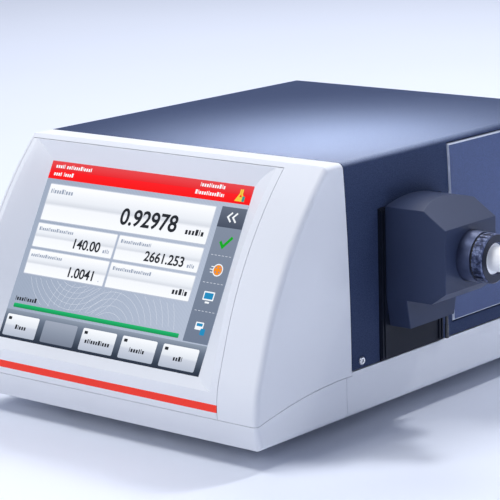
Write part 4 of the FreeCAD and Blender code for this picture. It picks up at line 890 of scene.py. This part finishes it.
def number(text, size, name, u, v):
    """Bold figures that end at u on the screen."""
    curve = bpy.data.curves.new(name, "FONT")
    curve.body = text
    curve.size = size
    curve.extrude = figure_thickness
    curve.offset = size * bold_share
    curve.align_x = "RIGHT"
    carrier = add_object(name + "_line", curve)
    bpy.context.view_layer.update()
    graph = bpy.context.evaluated_depsgraph_get()
    mesh = bpy.data.meshes.new_from_object(carrier.evaluated_get(graph))
    bpy.data.objects.remove(carrier)
    mesh.transform(screen_matrix(u, v, ink_lift))
    mesh.materials.clear()
    mesh.materials.append(ink)
    made = add_object(name, mesh)
    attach(made, "housing")
    print(name, "reads", text)


number("0.92978", size=20.0, name="reading_density", u=161.5, v=114.4)
number("140.00", size=12.2, name="reading_temperature", u=85.0, v=87.0)
number("2661.253", size=12.0, name="reading_period", u=180.8, v=86.4)
number("1.0041", size=12.2, name="reading_ratio", u=89.0, v=61.8)

# %% [markdown]
# ## Blank words
# Where a screen carries lettering, rows of small plain blocks stand for it. Their widths
# and heights follow one fixed rhythm, so a row has the weight of a word from a step away
# and spells nothing up close.

# %%
# Rows of blocks
letter_heights = (1.0, 0.72, 0.72, 1.0, 0.72, 0.9, 0.72, 0.72, 1.0, 0.72)
letter_widths = (0.56, 0.48, 0.50, 0.16, 0.46, 0.30, 0.50, 0.44, 0.18, 0.48)
space_share = 0.24
shortest_share = 0.2
rhythm_step = 3
block_thickness = 0.03


def blank_word(group, u0, u1, v, height, lift, start):
    """Row of blocks from u0 to u1 that stands on v; start shifts its rhythm."""
    u = u0
    i = start
    while u < u1 - height * shortest_share:
        width = height * letter_widths[i % len(letter_widths)]
        tall = height * letter_heights[i % len(letter_heights)]
        add_plate(group, (u, min(u1, u + width), v, v + tall), lift, block_thickness)
        u += width + height * space_share
        i += rhythm_step


def blank_words(name, material, words, lift):
    """One object made of rows; each is left, right, foot, height and start."""
    group = bmesh.new()
    for u0, u1, v, height, start in words:
        blank_word(group, u0, u1, v, height, lift, start)
    finish_group(group, name, "housing", material)


print("rhythm of", len(letter_widths), "blocks")

# %%
# Labels and units on the cards
soft_ink = lit_plain("soft_ink", (0.31, 0.36, 0.46))
card_words = [(9, 35, 132.6, 4.2, 35), (9, 50, 98.4, 3.2, 50), (106, 140, 98.4, 3.2, 140),
              (9, 46, 74.4, 3.2, 46), (106, 150, 74.4, 3.2, 150)]
blank_words("card_labels", soft_ink, card_words, ink_lift)
blank_words("card_units", ink, [(172.0, 193.5, 114.0, 5.2, 1), (177.0, 193.0, 62.8, 5.2, 4)], ink_lift)
small_units = bmesh.new()
for u0, u1, v in ((89.0, 96.0, 87.0), (184.5, 192.0, 86.4)):
    blank_word(small_units, u0, u1, v, height=3.6, lift=ink_lift, start=2)
add_plate(small_units, (93.5, 94.5, 61.8, 62.8), ink_lift, block_thickness, radius=0.3)
finish_group(small_units, "card_small_units", "housing", soft_ink)

# %%
# Captions of the header, the bar and the buttons
caption_height = 3.6
header_words = [(6, 17, 155.6), (19, 50, 155.6), (6, 16, 148.6), (18, 30, 148.6), (173.5, 201, 156.2),
                (170, 201, 149.4)]
blank_words("header_captions", white,
            [(u0, u1, v, caption_height, int(u0)) for u0, u1, v in header_words], mark_lift)
dark_height = 4.0
button_caption_foot = 9.0
button_caption_halves = (6.5, 0, 14.0, 8.5, 5.5)
dark_captions = bmesh.new()
blank_word(dark_captions, cards_left, 32.0, 34.2, dark_height, mark_lift, start=3)
for i, half in enumerate(button_caption_halves):
    if half > 0:
        left = button_left + i * button_pitch
        middle = left + button_width / 2
        blank_word(dark_captions, middle - half, middle + half, button_caption_foot, dark_height,
                   top_lift, start=i)
        add_plate(dark_captions, (left + 2.2, left + 6.0, 16.6, 19.2), top_lift,
                  block_thickness, radius=0.4)
finish_group(dark_captions, "screen_captions", "housing", ink)

# %% [markdown]
# ## Rear screws
# Small socket screws hold the rear panel, the port plate and the fan guard. One head is
# turned from its profile with the spin tool. The ring of points round the socket is then
# moved out to a hexagon, which is quicker than cutting the hexagon with a boolean and
# leaves cleaner faces.

# %%
# One socket screw
screw_steps = 24


def screw_head(group, x, y, z, radius):
    """Socket screw head that faces +Y; its foot stands at y. Metres."""
    height = radius * 0.62
    shoulder = height * 0.7
    socket = radius * 0.46
    socket_floor = height * 0.3
    rim = radius * 0.72
    flank = radius * 0.93
    profile = [(0, socket_floor), (socket, socket_floor), (socket, height), (rim, height),
               (flank, shoulder), (radius, 0)]
    piece = bmesh.new()
    points = [piece.verts.new((reach, 0, rise)) for reach, rise in profile]
    edges = [piece.edges.new(pair) for pair in zip(points, points[1:])]
    bmesh.ops.spin(piece, geom=points + edges, axis=(0, 0, 1), cent=(0, 0, 0),
                   angle=2 * math.pi, steps=screw_steps, use_merge=True)
    bmesh.ops.remove_doubles(piece, verts=piece.verts, dist=1e-6)
    for corner in piece.verts:
        if abs(math.hypot(corner.co.x, corner.co.y) - socket) < 1e-6:
            turn = math.atan2(corner.co.y, corner.co.x) % (math.pi / 3) - math.pi / 6
            grow = math.cos(math.pi / 6) / math.cos(turn)
            corner.co.x *= grow
            corner.co.y *= grow
    add_to(group, piece, Matrix.Translation((x, y, z)) @ Matrix.Rotation(-math.pi / 2, 4, "X"))


print("screw heads turned in", screw_steps, "steps")

# %%
# Screws of the panel, the port plate and the fan guard
panel_inset = 12 * mm
plate_inset = 6.2 * mm
guard_inset = 2.4 * mm
panel_screw = 2.9 * mm
plate_screw = 1.8 * mm
guard_screw = 2.6 * mm
panel_low, panel_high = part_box("rear_panel")
plate_low, plate_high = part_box("port_plate")
guard_low, guard_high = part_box("fan_guard")
base_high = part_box("hood")[0].z
rear_screws = bmesh.new()
for x in (panel_low.x + panel_inset, panel_high.x - panel_inset):
    for z in (base_high + panel_inset, (base_high + panel_high.z) / 2, panel_high.z - panel_inset):
        screw_head(rear_screws, x, panel_high.y, z, panel_screw)
for x in (plate_low.x + plate_inset, plate_high.x - plate_inset):
    screw_head(rear_screws, x, plate_high.y, (plate_low.z + plate_high.z) / 2, plate_screw)
finish_group(rear_screws, "rear_panel_screws", "housing", surfaces["screw steel"])
guard_screws = bmesh.new()
for x in (guard_low.x + guard_inset, guard_high.x - guard_inset):
    for z in (guard_low.z + guard_inset, guard_high.z - guard_inset):
        screw_head(guard_screws, x, guard_high.y, z, guard_screw)
finish_group(guard_screws, "fan_guard_screws", "housing", surfaces["screw steel"])

# %% [markdown]
# ## Floor
# A product picture needs a ground that shows the shadow and nothing else. A sheet that
# bends up behind the object would hide it from the rear, so the floor is simply level and
# so wide that its edge is lost in the distance.

# %%
# Floor sheet
floor_half = 9.0
floor_cells = 8


def floor_material():
    made, tree, shader, place = new_material("floor_pale")
    clouds = noise(tree, place.outputs["Object"], scale=0.8)
    tint = ramp(tree, clouds, [(0.3, (0.72, 0.76, 0.86)), (0.7, (0.76, 0.80, 0.90))])
    tree.links.new(tint, shader.inputs["Base Color"])
    shader.inputs["Roughness"].default_value = 0.45
    return made


sheet = bmesh.new()
bmesh.ops.create_grid(sheet, x_segments=floor_cells, y_segments=floor_cells, size=floor_half)
floor_mesh = bpy.data.meshes.new("floor")
sheet.to_mesh(floor_mesh)
sheet.free()
floor_mesh.materials.append(floor_material())
floor = add_object("floor", floor_mesh)
print("floor", 2 * floor_half, "m wide")

# %% [markdown]
# ## Lights
# A large soft key hangs overhead and a weaker one stands at the front left. A bluish fill
# comes from the right. A small hard light behind and above throws the shadow that falls
# towards the viewer and lights the top. The hood has a soft pool of light just behind the
# front: a small warm lamp makes it, and light linking keeps that lamp off the pale
# housing, which would turn plain white. Two lights brighten the floor far behind and to
# the right, and one the rear panel.

# %%
# Lamps and sky
object_middle = (cad_box[0] + cad_box[1]) / 2
white_light = (1.0, 1.0, 0.98)
cool_light = (0.97, 0.98, 1.0)


def area_light(name, place, target, size, power, colour, spread_degrees=180.0):
    data = bpy.data.lights.new(name, "AREA")
    data.shape = "RECTANGLE"
    data.size, data.size_y = size
    data.energy = power
    data.color = colour
    data.spread = math.radians(spread_degrees)
    made = add_object(name, data)
    made.location = place
    made.visible_camera = False
    made.rotation_euler = (Vector(target) - Vector(place)).to_track_quat("-Z", "Y").to_euler()
    print("light", name, power, "W")
    return made


area_light("key", (-0.5, -1.0, 2.3), object_middle, (1.2, 0.8), 34.0, white_light)
area_light("front", (-1.1, -2.2, 1.2), object_middle, (1.4, 0.8), 17.0, white_light)
area_light("side", (2.2, -0.8, 1.3), object_middle, (1.0, 1.0), 7.0, (0.84, 0.89, 1.0))
area_light("above_rear", (0.5, 1.3, 2.2), object_middle, (0.3, 0.3), 27.0, cool_light)
area_light("far_floor", (-1.4, 2.0, 2.6), (-1.6, 2.3, 0.0), (2.4, 1.6), 75.0, cool_light)
area_light("right_floor", (1.0, 0.35, 1.3), (1.0, 0.35, 0.0), (0.7, 0.7), 9.0, white_light,
           spread_degrees=45.0)
area_light("rear", (1.2, 1.9, 1.3), object_middle, (1.0, 0.8), 7.0, (0.94, 0.96, 1.0))
pool = area_light("pool", (0.02, -0.05, 0.50), (0.04, -0.05, 0.23), (0.20, 0.08), 2.4,
                  colour=(1.0, 0.83, 0.56), spread_degrees=88.0)
hood_only = bpy.data.collections.new("hood_only")
hood_only.objects.link(nodes["hood"])
pool.light_linking.receiver_collection = hood_only

world = bpy.data.worlds.new("studio")
bpy.context.scene.world = world
world.use_nodes = True
background = world.node_tree.nodes["Background"]
background.inputs["Color"].default_value = (0.50, 0.58, 0.85, 1.0)
background.inputs["Strength"].default_value = 0.27

# %% [markdown]
# ## Camera
# The camera stands where it stood for the photograph. Its place, direction, roll and
# focal length were found outside this script by fitting the corners of the solids to the
# same corners in the photograph, so both pictures can be laid over each other.

# %%
# Fitted camera
camera_azimuth = math.radians(40.29)
camera_height = math.radians(12.43)
camera_roll = math.radians(-1.58)
camera_place = Vector((1.186526, -1.509510, 0.548239))
photo_pixels = 500.0
photo_focal = 2231.83
sensor = 36.0
forward = Vector((-math.sin(camera_azimuth) * math.cos(camera_height),
                  math.cos(camera_azimuth) * math.cos(camera_height), -math.sin(camera_height)))
right = Vector((math.cos(camera_azimuth), math.sin(camera_azimuth), 0))
up = right.cross(forward)
camera_right = right * math.cos(camera_roll) + up * math.sin(camera_roll)
camera_up = up * math.cos(camera_roll) - right * math.sin(camera_roll)
turn = Matrix((camera_right, camera_up, -forward)).transposed().to_4x4()
lens = bpy.data.cameras.new("photo_camera")
lens.sensor_width = sensor
lens.lens = photo_focal / photo_pixels * sensor
camera = add_object("photo_camera", lens)
camera.matrix_world = Matrix.Translation(camera_place) @ turn
bpy.context.scene.camera = camera
bpy.context.scene.view_settings.view_transform = "Standard"
print("lens", round(lens.lens, 2), "mm")
